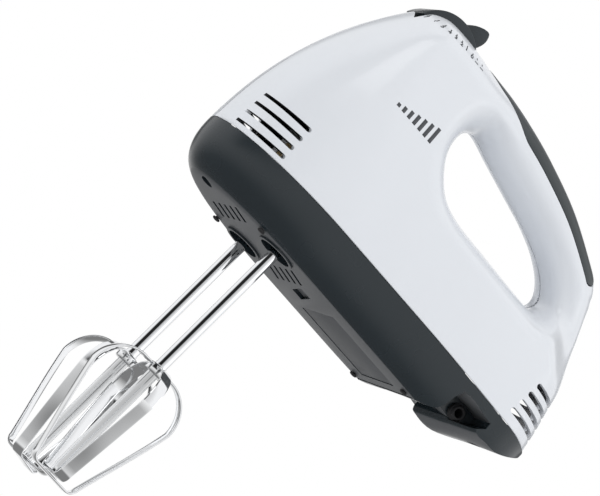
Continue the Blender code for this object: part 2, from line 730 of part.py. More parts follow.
def make_brushes_and_brackets():
    z = MOTOR_Z
    for side, word in ((-1, "left"), (1, "right")):
        ys = sorted((side * 7.9, side * 17.5))
        keep(bevel(box(f"carbon_brush_{word}", (75.4, 81.4), ys, (z - 2.4, z + 2.4)), 0.3, 1), BLACK)
        ys = sorted((side * 9.2, side * 25.0))
        holder = box(f"brush_holder_{word}", (73.6, 83.2), ys, (z - 4.2, z + 4.2))
        inner = box(f"brush_room_{word}", (75.1, 81.7), sorted((side * 5, side * 23.6)), (z - 2.7, z + 2.7))
        keep(cut(holder, inner), BRASS)
        coil = []
        for k in range(25):
            angle = 2 * math.pi * k / 8
            y = side * (18.2 + 5.0 * k / 24)
            coil.append((78.4 + 1.6 * math.cos(angle), y, z + 1.6 * math.sin(angle)))
        keep(wire(f"brush_spring_{word}", coil, 0.3, 0), STEEL)
    back = box("back_bracket", (68, 94.5), (-28.2, 28.2), (z - 6.5, z + 6.5))
    cut(back, box("back_bracket_room", (60, 91.5), (-25.4, 25.4), (z - 10, z + 10)))
    cut(back, rod("back_bush_seat", "X", (0, 0, z), 5.0, 80, 100, 24))
    keep(back, STEEL)
    front = box("front_bracket", (24.2, 43.9), (-24.2, 24.2), (z - 6.5, z + 6.5))
    cut(front, box("front_bracket_room", (22, 42.2), (-22.2, 22.2), (z - 10, z + 10)))
    cut(front, rod("front_bracket_window", "X", (0, 0, z), 19.3, 20, 50, 32))
    join(front, box("front_link", (30.0, 33.0), (-24.2, 24.2), (z + 20.5, z + 22.5)))
    join(front, box("front_post_left", (30.0, 33.0), (-24.2, -22.2), (z, z + 22.5)))
    join(front, box("front_post_right", (30.0, 33.0), (22.2, 24.2), (z, z + 22.5)))
    keep(front, STEEL)
    for name, low, high in (("front_bearing", -21.9, -18.7), ("middle_bearing", 18.7, 21.9),
                            ("back_bearing", 91.2, 94.8)):
        keep(ring(name, "X", (0, 0, z), ROTOR_R + 0.08, 4.7, low, high, 16), BRASS)


# ---------------------------------------------------------------- worm gears and their frame

def make_gear_frame():
    z = MOTOR_Z
    halves = (("lower", (19.8, 22.8), (19.8, z - GAP / 2)), ("upper", (41.4, 44.0), (z + GAP / 2, 44.0)))
    for word, plate, wall in halves:
        frame = box(f"gear_frame_{word}", (-22, 22), (-27, 27), plate)
        join(frame, box(f"frame_front_{word}", (-22, -18.6), (-12, 12), wall))
        join(frame, box(f"frame_back_{word}", (18.6, 22), (-16, 16), wall))
        for x in (-20.3, 20.3):
            cut(frame, rod(f"bearing_seat_{word}_{x:.0f}", "X", (0, 0, z), 5.0, x - 3, x + 3, 16))
        for side in (-1, 1):
            cut(frame, rod(f"bush_seat_{word}_{side}", "Z", (0, side * BEATER_Y, 0), 6.9, 15, 50, 16))
        keep(frame, ALLOY)


def make_worm_gear(word, side, axis):
    """Helical gear on a hollow spindle. The beater's shaft goes up its bore."""
    twist = LEAD_SLOPE / GEAR_R
    z = MOTOR_Z
    bm = bmesh.new()
    loops = []
    # a tooth space faces the thread on one side of the worm, and a tooth on the other
    phase = -math.pi / 2 + (math.pi / GEAR_TEETH if side > 0 else math.pi)
    for height in (-3.2, 3.2):
        loop = []
        for tooth in range(GEAR_TEETH):
            for offset, radius in ((-0.39, 12.75), (-0.20, 14.0), (-0.10, 14.85), (0.10, 14.85), (0.20, 14.0),
                                   (0.39, 12.75)):
                angle = phase + 2 * math.pi * (tooth + offset) / GEAR_TEETH + twist * height
                y = side * BEATER_Y + radius * math.sin(angle)
                loop.append(bm.verts.new(Vector((radius * math.cos(angle), y, z + height)) * MM))
        loops.append(loop)
    bottom, top = loops
    for j in range(len(bottom)):
        n = (j + 1) % len(bottom)
        bm.faces.new((bottom[j], bottom[n], top[n], top[j]))
    bm.faces.new(bottom)
    bm.faces.new(top[::-1])
    gear = mesh_object(f"worm_gear_{word}", bm)
    centre = (0, side * BEATER_Y, 0)
    join(gear, rod(f"spindle_{word}", "Z", centre, 4.6, 8.0, 46.4, 16))
    cut(gear, rod(f"spindle_bore_{word}", "Z", centre, SHAFT_R + GAP, 0, 60, 16))
    keep(gear, NYLON, axis)
    for place, low, high in (("lower", 19.0, 23.4), ("upper", 40.8, 44.6)):
        keep(ring(f"gear_bush_{word}_{place}", "Z", centre, 4.85, 6.6, low, high, 16), BRASS)


# ---------------------------------------------------------------- beaters

def strip_path(foot_z, count=6):
    """Half of a blade loop seen flat, from the collar over the shoulder and in to the tip (r, z)."""
    top = CAGE_TOP_Z - 0.5
    widest_z = CAGE_TOP_Z - 15.5
    points = [(5.0, top), (8.0, top - 0.15)]
    for k in range(1, 10):
        angle = math.pi / 2 * (1 - k / 9)
        points.append((8.0 + (CAGE_R - 8.0) * math.cos(angle), widest_z + (top - widest_z) * math.sin(angle)))
    corner = 3.4
    knee_z = foot_z + corner
    knee_r = CAGE_FOOT_R
    points.append((mix(CAGE_R, knee_r, 0.16), mix(widest_z, knee_z, 0.20)))
    points.append((knee_r, knee_z))
    for k in range(1, count):
        angle = math.pi / 2 * k / count
        points.append((knee_r - corner * (1 - math.cos(angle)), knee_z - corner * math.sin(angle)))
    points.append((knee_r - corner, foot_z))
    return points


def blade_loop(name, side, foot_z, turn, axis):
    """One bent strip: both ends at the collar, and its middle under the end of the shaft."""
    half = strip_path(foot_z)
    path = [Vector(p) for p in half] + [Vector((-r, z)) for r, z in reversed(half)]
    bm = bmesh.new()
    rows = []
    for i, point in enumerate(path):
        ahead = path[min(i + 1, len(path) - 1)] - path[max(i - 1, 0)]
        normal = Vector((-ahead.y, ahead.x)).normalized() * (STRIP_T / 2)
        row = []
        for shift, edge in ((1, -1), (1, 1), (-1, 1), (-1, -1)):
            flat = point + normal * shift
            across = edge * STRIP_W / 2
            x = flat.x * math.cos(turn) - across * math.sin(turn)
            y = flat.x * math.sin(turn) + across * math.cos(turn)
            row.append(bm.verts.new(Vector((x, y + side * BEATER_Y, flat.y)) * MM))
        rows.append(row)
    for a, b in zip(rows, rows[1:]):
        for j in range(4):
            n = (j + 1) % 4
            bm.faces.new((a[j], a[n], b[n], b[j]))
    bm.faces.new(rows[0])
    bm.faces.new(rows[-1][::-1])
    keep(mesh_object(name, bm), CHROME, axis)


def make_beater(word, side, turn, axis):
    centre = (0, side * BEATER_Y, 0)
    top = 47.0
    foot = BEATER_TIP_Z + 2.6
    shaft = turned(f"beater_shaft_{word}", [(0, top), (1.6, top), (SHAFT_R, top - 1.2), (SHAFT_R, foot),
                                            (0, foot)], "Z", centre, 20)
    keep(shaft, CHROME, axis)
    z, bore = CAGE_TOP_Z, SHAFT_R + 0.1
    profile = [(4.0, z + 0.6), (4.6, z), (4.6, z - 3.4), (bore, z - 3.4), (bore, z + 0.6)]
    collar = turned(f"beater_collar_{word}", profile, "Z", centre, 24)
    keep(collar, CHROME, axis)
    blade_loop(f"beater_loop_{word}_outer", side, BEATER_TIP_Z + 0.5, turn, axis)
    blade_loop(f"beater_loop_{word}_inner", side, BEATER_TIP_Z + 1.8, turn + math.pi / 2, axis)


# ---------------------------------------------------------------- slider, switch and ejector

def arc_points(radius, start, end, count, centre=(SLIDER_X, SLIDER_Z)):
    points = []
    for k in range(count + 1):
        angle = math.radians(mix(start, end, k / count))
        points.append((centre[0] + radius * math.cos(angle), centre[1] + radius * math.sin(angle)))
    return points


def make_slider():
    start, end = -11, 158
    inside = SLIDER_R - SLIDER_WALL
    band_outline = arc_points(SLIDER_R, start, end, 22) + arc_points(inside, end, start, 22)
    slider = prism("speed_slider", band_outline, -SLIDER_HALF, SLIDER_HALF)
    web = arc_points(SLIDER_R - 1.0, start + 4, end - 4, 16) + [(SLIDER_X, SLIDER_Z)]
    join(slider, prism("slider_web", web, -1.5, 1.5))
    join(slider, rod("slider_hub", "Y", (SLIDER_X, 0, SLIDER_Z), 4.2, -5, 5, 20))
    fin = [(-7.6, 121.6), (-6.3, 124.0), (-4.0, 126.1), (-0.8, 127.7), (1.2, 128.3), (2.5, 128.0),
           (3.4, 126.6), (3.8, 124.6), (3.6, 122.4), (2.7, 119.8), (1.3, 117.9), (-4.0, 119.6)]
    join(slider, bevel(prism("slider_fin", fin, -6.4, 6.4), 0.8, 2))
    cut(slider, rod("slider_bore", "Y", (SLIDER_X, 0, SLIDER_Z), 2.1, -30, 30, 20))
    keep(slider, DARK, SLIDER_AXIS)
    keep(rod("slider_pin", "Y", (SLIDER_X, 0, SLIDER_Z), 2.0, -15.4, 15.4, 20), STEEL)
    wiper = arc_points(9.0, 40, 100, 8) + arc_points(7.6, 100, 40, 8)
    keep(prism("switch_wiper", wiper, 1.8, 2.6), COPPER, SLIDER_AXIS)


def make_switch():
    board = prism("switch_board", arc_points(11.4, -40, 200, 16), 5.6, 7.2)
    cut(board, rod("board_bore", "Y", (SLIDER_X, 0, SLIDER_Z), 2.3, 0, 20, 16))
    keep(board, GREEN)
    diode = turned("rectifier_diode", [(0, 4), (1.3, 4), (1.6, 3.4), (1.6, -3.4), (1.3, -4), (0, -4)],
                   "X", (SLIDER_X, 0, 0), 12)
    diode.location = Vector((SLIDER_X + 1, 4.2, SLIDER_Z - 8.4)) * MM
    keep(diode, BLACK)
    capacitor = bevel(box("noise_capacitor", (-30, -18), (-6, 6), (58, 72)), 1.2, 2)
    keep(capacitor, YELLOW)


def make_ejector():
    """Plate over both spindles, with a push rod up to the end of the slider."""
    plate = box("ejector_plate", (-5.5, 10.2), (-24.5, 24.5), (50.6, 53.0))
    bevel(plate, 0.6, 1)
    join(plate, rod("ejector_rod", "Z", (EJECT_X, 0, 0), 2.2, 52, 98.2, 16))
    join(plate, rod("ejector_collar", "Z", (EJECT_X, 0, 0), 4.6, 76.0, 78.0, 20))
    keep(plate, NYLON, EJECT_AXIS)
    shelf = box("spring_shelf", (-2.6, 16.8), (-14.5, 14.5), (58.0, 60.4))
    cut(shelf, rod("shelf_hole", "Z", (EJECT_X, 0, 0), 2.6, 50, 70, 20))
    for y in (-13.3, 13.3):
        join(shelf, box(f"shelf_leg_{y:.0f}", (10.8, 14.6), (y - 1.2, y + 1.2), (44.3, 59)))
    keep(shelf, ALLOY)
    coil = []
    turns, per = 6, 10
    for k in range(turns * per + 1):
        angle = 2 * math.pi * k / per
        coil.append((EJECT_X + 3.5 * math.cos(angle), 3.5 * math.sin(angle), 61.2 + 14.0 * k / (turns * per)))
    keep(wire("ejector_spring", coil, 0.45, 0), STEEL, EJECT_AXIS)


# ---------------------------------------------------------------- build

clear_scene()
PARTS = new_collection("hand_mixer")
CUTTERS = new_collection("cutters")
CUTTERS.hide_render = True

WHITE = make_material("white_gloss", (0.86, 0.87, 0.89), 0.22)
DARK = make_material("charcoal_gloss", (0.035, 0.045, 0.05), 0.28)
DARK_FLAT = make_material("charcoal_matte", (0.06, 0.065, 0.07), 0.55)
RUBBER = make_material("black_rubber", (0.02, 0.02, 0.02), 0.7)
CHROME = make_material("chrome", (0.85, 0.86, 0.87), 0.08, 1.0)
STEEL = make_material("steel", (0.5, 0.5, 0.51), 0.35, 1.0)
BRASS = make_material("brass", (0.62, 0.46, 0.2), 0.3, 1.0)
COPPER = make_material("copper_wire", (0.7, 0.32, 0.14), 0.35, 1.0)
ALLOY = make_material("cast_alloy", (0.6, 0.6, 0.61), 0.5, 1.0)
NYLON = make_material("nylon", (0.82, 0.8, 0.72), 0.45)
BLACK = make_material("carbon_black", (0.015, 0.015, 0.016), 0.6)
GREEN = make_material("board_green", (0.03, 0.16, 0.07), 0.4)
YELLOW = make_material("capacitor_yellow", (0.75, 0.55, 0.08), 0.4)

MOTOR_AXIS = axis_empty("motor_axis", 0, 0, MOTOR_Z)
LEFT_AXIS = axis_empty("left_spindle_axis", 0, -BEATER_Y, 0)
RIGHT_AXIS = axis_empty("right_spindle_axis", 0, BEATER_Y, 0)
SLIDER_AXIS = axis_empty("slider_axis", SLIDER_X, 0, SLIDER_Z)
EJECT_AXIS = axis_empty("ejector_axis", EJECT_X, 0, 48)

make_upper_housing()
make_grip_strip()
make_base()
make_base_fittings()
make_motor()
make_brushes_and_brackets()
make_gear_frame()
make_worm_gear("left", -1, LEFT_AXIS)
make_worm_gear("right", 1, RIGHT_AXIS)
make_beater("left", -1, 0.0, LEFT_AXIS)
make_beater("right", 1, math.radians(45), RIGHT_AXIS)
make_slider()
make_switch()
make_ejector()
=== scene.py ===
"""Looks of the hand mixer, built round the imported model. Lengths are in millimetres, apart from those of the
materials, the camera's place, the lights and the floor, which are in metres."""
import json
import math

import bmesh
import bpy
import numpy as np
from mathutils import Matrix, Vector


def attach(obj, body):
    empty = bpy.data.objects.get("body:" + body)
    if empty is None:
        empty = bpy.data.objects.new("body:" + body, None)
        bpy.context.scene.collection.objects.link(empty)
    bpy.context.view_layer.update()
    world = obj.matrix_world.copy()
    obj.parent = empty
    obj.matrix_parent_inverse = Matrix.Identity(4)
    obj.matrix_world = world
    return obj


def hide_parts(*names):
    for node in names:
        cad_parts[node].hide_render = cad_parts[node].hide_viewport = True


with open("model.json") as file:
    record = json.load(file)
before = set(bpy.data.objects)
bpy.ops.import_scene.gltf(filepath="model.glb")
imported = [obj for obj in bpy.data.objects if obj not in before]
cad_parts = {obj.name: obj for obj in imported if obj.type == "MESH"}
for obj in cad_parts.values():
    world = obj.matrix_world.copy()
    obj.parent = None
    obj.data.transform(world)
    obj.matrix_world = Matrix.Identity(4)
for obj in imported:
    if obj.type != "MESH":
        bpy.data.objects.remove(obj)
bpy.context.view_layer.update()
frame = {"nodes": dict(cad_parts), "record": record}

MM = 0.001
NODES = frame["nodes"]

# Shape of the parts, the same as the model's
SEAM_Z = 21.3
GAP = 0.3
WALL = 2.4
NOSE_X = -52.0
BACK_X = 140.5
BEATER_Y = 19.0
CAGE_TOP_Z = -66.0
BEATER_TIP_Z = -126.2
CAGE_R = 22.1
CAGE_FOOT_R = 11.5
BLADE_HALF_WIDE, BLADE_HALF_THICK = 2.7, 0.5
SHAFT_R = 2.6
SLIDER = (-8.5, 105.0)
SLIDER_R = 17.5
SLIDER_HALF = 9.0
SLIDER_WALL = 5.0
GRIP_HALF = 13.8
GRIP_ENDS = (12.5, 112.5)
HOUSING_FRONT_HALF, HOUSING_BACK_HALF = 40.0, 33.0
TAPER_X = (60, 140)
HANDLE_HALF = 15.0
THIN_EDGE = 0.12
POCKET_Y = 17.5
VENTS, VENT_PITCH = 4, 5.0
OUTSIDE_Y = 50.0  # beyond the widest place of the mixer
PAINTED_SHADE_X, PAINTED_SHADE_Z = 20, 60  # how far the painted shade reaches: the inner faces behind the front vents get a near-black colour that stands in for the shade there
GLAND = (102.6, 11.9)
FEET = [(-13.0, 26.8), (76.8, 27.4), (-13.0, -26.8), (76.8, -27.4)]
SCREWS = {"front": (-36.5, -5.5), "back_left": (119.0, -16.0), "back_right": (119.0, 16.0)}
CROWN = [(-22.0, 116.0), (-14.0, 119.2), (-4.0, 119.9), (6.0, 119.4), (16.0, 118.5), (30.0, 118.3),
         (44.0, 117.0), (61.0, 113.9), (83.0, 107.9), (105.0, 98.4), (112.0, 94.4), (117.6, 88.0),
         (121.0, 81.0), (123.8, 75.6), (126.6, 70.0), (129.4, 62.5), (132.6, 51.0), (135.6, 39.5),
         (138.2, 30.0), (140.4, 18.0)]
CORNER = 11  # the point of CROWN where the top turns into the back
PER = 40  # samples to each stretch of the outlines
HOLE = [(30.0, 72.5), (24.6, 81.0), (24.0, 90.0), (28.0, 95.8), (33.0, 96.6), (44.0, 93.9), (61.0, 90.4),
        (75.0, 87.4), (88.0, 83.2), (97.0, 78.0), (101.6, 71.5), (98.0, 65.6), (88.0, 64.4), (60.0, 64.8),
        (45.0, 65.4), (36.0, 67.8)]
BELLY = [(80.4, -0.4), (89.5, 4.6), (92.6, 8.6), (94.4, 8.4), (95.0, 4.2), (97.5, 2.6),
         (108.0, 3.2), (124.0, 11.4), (136.5, 19.0), (142.0, 25.0)]


# ---------------------------------------------------------------- curves and the skin of the housings

def smooth_step(value, low, high):
    t = np.clip((value - low) / (high - low), 0.0, 1.0)
    return t * t * (3.0 - 2.0 * t)


def mix(a, b, t):
    return a + (b - a) * t


def spline(points, per, closed=False):
    """Catmull-Rom curve through points, per samples to each stretch."""
    p = np.array(points, float)
    count = len(p)
    out = []
    for i in range(count if closed else count - 1):
        p1, p2 = p[i], p[(i + 1) % count]
        p0 = p[i - 1] if i > 0 or closed else 2 * p1 - p2
        p3 = p[(i + 2) % count] if i + 2 < count or closed else 2 * p2 - p1
        u = (np.arange(per) / per)[:, None]
        out.append(0.5 * (2 * p1 + (p2 - p0) * u + (2 * p0 - 5 * p1 + 4 * p2 - p3) * u ** 2
                          + (3 * p1 - p0 - 3 * p2 + p3) * u ** 3))
    if not closed:
        out.append(p[-1:])
    return np.concatenate(out)


CROWN_LINE = spline(CROWN, PER)
BACK_LINE = CROWN_LINE[PER * CORNER:]
HOLE_LINE = spline(HOLE, PER, True)
HOLE_COARSE = HOLE_LINE[::5]


def front_x(z):
    return NOSE_X + 30.0 * (np.maximum(z - 21.0, 0.0) / 95.0) ** 2.2


def back_x(z):
    return np.interp(-np.asarray(z, float), -BACK_LINE[:, 1], BACK_LINE[:, 0])


def crown_z(x):
    nose = 21.0 + 95.0 * (np.maximum(x - NOSE_X, 0.0) / 30.0) ** (1 / 2.2)
    return np.where(x <= CROWN[0][0], nose, np.interp(x, CROWN_LINE[:, 0], CROWN_LINE[:, 1]))


def pinch(distance, reach):
    t = np.clip(distance / reach, 1e-6, 1.0)
    return 1.0 / (t * (2.0 - t)) - 1.0


def hole_distance(x, z):
    point = np.stack([x, z], -1)[..., None, :]
    a = HOLE_COARSE
    along = np.roll(a, -1, 0) - a
    t = np.clip(((point - a) * along).sum(-1) / (along ** 2).sum(-1), 0.0, 1.0)
    return np.sqrt(((point - (a + along * t[..., None])) ** 2).sum(-1)).min(-1)


def half_width(x, z):
    """Half width of the white housing above each point of the middle plane."""
    x, z = np.broadcast_arrays(np.asarray(x, float), np.asarray(z, float))
    body = mix(HOUSING_FRONT_HALF, HOUSING_BACK_HALF, smooth_step(x, *TAPER_X))
    body = body - 10.0 * (np.maximum(z - 21.0, 0.0) / 66.0) ** 1.5
    floor = mix(66.0, 46.0, smooth_step(x, 90, 122))
    wide = mix(body, HANDLE_HALF, smooth_step(x, 8, 46) * smooth_step(z, floor, floor + 24))
    spread = pinch(x - front_x(z), mix(60.0, 12.0, smooth_step(z, 21, 122)))
    spread = spread + pinch(back_x(z) - x, mix(25.0, 14.0, smooth_step(z, 21, 85)))
    upper = pinch(crown_z(x) - z, mix(14.0, 12.5, smooth_step(x, 5, 45)))
    upper = upper + pinch(hole_distance(x, z), mix(15.0, 12.0, smooth_step(x, 20, 45)))
    return wide / np.sqrt(1.0 + spread + np.where(z > 50, upper, 0.0))


def crown_at(x, y):
    """Height of the skin near the crown at a distance y from the middle plane."""
    x, y = np.broadcast_arrays(np.asarray(x, float), np.asarray(y, float))
    high = crown_z(x)
    low = high - 14.0
    for _ in range(24):
        middle = (low + high) / 2
        inside = half_width(x, middle) > np.abs(y)
        low = np.where(inside, middle, low)
        high = np.where(inside, high, middle)
    return (low + high) / 2


def to_skin(points, lift):
    """Points moved straight out or in until they stand lift above the housing's skin."""
    p = np.array(points, float)
    step = 0.05

    def depth(q):
        return half_width(q[:, 0], q[:, 2]) - np.abs(q[:, 1])

    for _ in range(8):
        here = depth(p)
        slope = np.stack([(depth(p + step * axis) - depth(p - step * axis)) / (2 * step)
                          for axis in np.eye(3)], -1)
        length = np.maximum(np.linalg.norm(slope, axis=1), 1e-6)[:, None]
        p = p - slope / length * np.clip(here[:, None] / length, -1.0, 1.0)
    return p - slope / length * lift


def base_inset(z):
    """How far the base's side stands in from the seam at a height, with a round lower edge."""
    drop = np.clip((SEAM_Z - z) / SEAM_Z, 0.0, 1.0)
    return 4.6 * drop + 3.9 * (1.0 - (1.0 - drop ** 4) ** 0.5)


def base_front_x(z):
    drop = np.clip((SEAM_Z - z) / SEAM_Z, 0.0, 1.0)
    return NOSE_X + 17.0 * (1.0 - (1.0 - drop ** 2.5) ** 0.4)


def base_half_width(x, z, thinner=0.0):
    start = base_front_x(z) + thinner
    end = BACK_X - thinner
    spread = pinch(x - start, 60.0 - 0.5 * base_inset(z)) + pinch(end - x, 25.0)
    wide = mix(HOUSING_FRONT_HALF, HOUSING_BACK_HALF, smooth_step(x, *TAPER_X)) - base_inset(z) - thinner
    return wide / np.sqrt(1.0 + spread)


# ---------------------------------------------------------------- mesh helpers

def piece(name, verts, faces):
    """An object from points in millimetres, with smooth shading up to the usual angle."""
    mesh = bpy.data.meshes.new(name)
    mesh.from_pydata((np.asarray(verts, float) * MM).tolist(), [], [list(map(int, f)) for f in faces])
    bm = bmesh.new()
    bm.from_mesh(mesh)
    bmesh.ops.remove_doubles(bm, verts=bm.verts, dist=0.000002)
    bmesh.ops.recalc_face_normals(bm, faces=bm.faces)
    bm.to_mesh(mesh)
    bm.free()
    obj = bpy.data.objects.new(name, mesh)
    bpy.context.scene.collection.objects.link(obj)
    shade(obj)
    return obj


def shade(obj, angle=32):
    obj.data.shade_smooth()
    obj.data.set_sharp_from_angle(angle=math.radians(angle))


def skin(rings, closed=True, caps=True):
    """Verts and faces of a surface through rings of points, each ring closed or open."""
    rings = [np.asarray(r, float) for r in rings]
    n = len(rings[0])
    verts = np.concatenate(rings)
    faces = []
    for k in range(len(rings) - 1):
        for j in range(n if closed else n - 1):
            m = (j + 1) % n
            faces.append((k * n + j, k * n + m, (k + 1) * n + m, (k + 1) * n + j))
    if caps:
        faces.append(tuple(range(n))[::-1])
        faces.append(tuple(range((len(rings) - 1) * n, len(rings) * n)))
    return verts, faces


def circle(axis, centre, radius, height, segments):
    """Points round an axis through centre, all at one coordinate along it, height."""
    a = np.arange(segments) * 2 * math.pi / segments
    index = "XYZ".index(axis)
    first, second = [i for i in range(3) if i != index]
    ring = np.zeros((segments, 3))
    ring[:, first] = centre[first] + radius * np.cos(a)
    ring[:, second] = centre[second] + radius * np.sin(a)
    ring[:, index] = height
    return ring


def cylinder(name, axis, centre, radius, low, high, segments):
    return piece(name, *skin([circle(axis, centre, radius, height, segments) for height in (low, high)]))


def turned(name, profile, axis, centre, segments):
    """A turned body through (radius, height) points that start and end on the axis, or go round a bore."""
    start = centre["XYZ".index(axis)]
    rings = [circle(axis, centre, max(radius, 1e-4), start + height, segments) for radius, height in profile]
    on_axis = profile[0][0] == 0
    if not on_axis:
        rings.append(rings[0])
    return piece(name, *skin(rings, caps=False))


def prism(name, outline, low, high, plane="XZ"):
    order = {"XZ": (0, 2, 1), "XY": (0, 1, 2), "YZ": (1, 2, 0)}[plane]
    rings = []
    for h in (low, high):
        ring = np.zeros((len(outline), 3))
        ring[:, order[0]] = [p[0] for p in outline]
        ring[:, order[1]] = [p[1] for p in outline]
        ring[:, order[2]] = h
        rings.append(ring)
    return piece(name, *skin(rings))


def box(name, xs, ys, zs):
    return prism(name, [(xs[0], ys[0]), (xs[1], ys[0]), (xs[1], ys[1]), (xs[0], ys[1])], *zs, plane="XY")


def arc(radius, start, end, count):
    """Points on an arc round the slider's axis, from a start to an end angle in degrees."""
    a = np.radians(np.linspace(start, end, count + 1))
    return [(SLIDER[0] + radius * math.cos(t), SLIDER[1] + radius * math.sin(t)) for t in a]


def apply_modifiers(obj):
    depsgraph = bpy.context.evaluated_depsgraph_get()
    mesh = bpy.data.meshes.new_from_object(obj.evaluated_get(depsgraph))
    obj.modifiers.clear()
    old = obj.data
    obj.data = mesh
    bpy.data.meshes.remove(old)


def merged(name, objects):
    """One mesh of several objects, which are removed."""
    bm = bmesh.new()
    for obj in objects:
        bm.from_mesh(obj.data)
        bpy.data.objects.remove(obj)
    mesh = bpy.data.meshes.new(name)
    bm.to_mesh(mesh)
    bm.free()
    obj = bpy.data.objects.new(name, mesh)
    bpy.context.scene.collection.objects.link(obj)
    return obj


def boolean(obj, tool, operation):
    modifier = obj.modifiers.new(operation, "BOOLEAN")
    modifier.operation = operation
    modifier.solver = "EXACT"
    modifier.object = tool
    apply_modifiers(obj)
    bpy.data.objects.remove(tool)


def bevel(obj, width, segments=3):
    modifier = obj.modifiers.new("edges", "BEVEL")
    modifier.width = width * MM
    modifier.segments = segments
    modifier.limit_method = "ANGLE"
    modifier.angle_limit = math.radians(30)
    apply_modifiers(obj)


def sweep(name, path, sides, half_wide, half_thick, across):
    """A strip with rounded edges along a path. sides is each point's direction through the thickness."""
    a = np.arange(16) * 2 * math.pi / 16
    u = np.sign(np.cos(a)) * np.abs(np.cos(a)) ** 0.25 * half_wide
    v = np.sign(np.sin(a)) * np.abs(np.sin(a)) ** 0.7 * half_thick
    rings = [p + u[:, None] * across + v[:, None] * s for p, s in zip(path, sides)]
    return piece(name, *skin(rings))


# ---------------------------------------------------------------- materials

def plastic(name, colour, rough, grain=0.02, scale=900.0, vary=0.04, coat=0.0, under=None):
    """Moulded plastic: slow colour and gloss variation with a fine moulded grain. under is the colour and
    roughness of faces that look down; the lighter colour there is a painted reflection of the pale floor."""
    material = bpy.data.materials.new(name)
    material.use_nodes = True
    tree = material.node_tree
    shader = tree.nodes["Principled BSDF"]
    place = tree.nodes.new("ShaderNodeTexCoord")
    slow = tree.nodes.new("ShaderNodeTexNoise")
    slow.inputs["Scale"].default_value = 45.0
    slow.inputs["Detail"].default_value = 3.0
    fine = tree.nodes.new("ShaderNodeTexNoise")
    fine.inputs["Scale"].default_value = scale
    fine.inputs["Detail"].default_value = 2.0
    for node in (slow, fine):
        tree.links.new(place.outputs["Object"], node.inputs["Vector"])
    tint = tree.nodes.new("ShaderNodeMix")
    tint.data_type = "RGBA"
    dark = [c * (1 - vary) for c in colour]
    light = [min(c * (1 + vary), 1.0) for c in colour]
    tint.inputs["A"].default_value = (*dark, 1.0)
    tint.inputs["B"].default_value = (*light, 1.0)
    tree.links.new(slow.outputs["Fac"], tint.inputs["Factor"])
    gloss = tree.nodes.new("ShaderNodeMapRange")
    gloss.inputs["To Min"].default_value = rough * 0.85
    gloss.inputs["To Max"].default_value = rough * 1.2
    tree.links.new(slow.outputs["Fac"], gloss.inputs["Value"])
    colour_out, rough_out = tint.outputs["Result"], gloss.outputs["Result"]
    # Faces that look down get under's colour, a painted reflection of the pale floor below, and its matte
    # roughness.
    if under is not None:
        geometry = tree.nodes.new("ShaderNodeNewGeometry")
        parts = tree.nodes.new("ShaderNodeSeparateXYZ")
        tree.links.new(geometry.outputs["Normal"], parts.inputs["Vector"])
        painted_floor_light_and_matte_mask = tree.nodes.new("ShaderNodeMapRange")
        painted_floor_light_and_matte_mask.interpolation_type = "SMOOTHSTEP"
        painted_floor_light_and_matte_mask.inputs["From Min"].default_value = -0.90
        painted_floor_light_and_matte_mask.inputs["From Max"].default_value = -0.97
        tree.links.new(parts.outputs["Z"], painted_floor_light_and_matte_mask.inputs["Value"])
        lower = tree.nodes.new("ShaderNodeMix")
        lower.data_type = "RGBA"
        lower.inputs["B"].default_value = (*under[0], 1.0)
        tree.links.new(painted_floor_light_and_matte_mask.outputs["Result"], lower.inputs["Factor"])
        tree.links.new(colour_out, lower.inputs["A"])
        matte = tree.nodes.new("ShaderNodeMix")
        matte.inputs["B"].default_value = under[1]
        tree.links.new(painted_floor_light_and_matte_mask.outputs["Result"], matte.inputs["Factor"])
        tree.links.new(rough_out, matte.inputs["A"])
        colour_out, rough_out = lower.outputs["Result"], matte.outputs["Result"]
    tree.links.new(colour_out, shader.inputs["Base Color"])
    tree.links.new(rough_out, shader.inputs["Roughness"])
    bump = tree.nodes.new("ShaderNodeBump")
    bump.inputs["Strength"].default_value = grain
    bump.inputs["Distance"].default_value = 0.0002
    tree.links.new(fine.outputs["Fac"], bump.inputs["Height"])
    tree.links.new(bump.outputs["Normal"], shader.inputs["Normal"])
    shader.inputs["Coat Weight"].default_value = coat
    shader.inputs["Coat Roughness"].default_value = 0.06
    return material


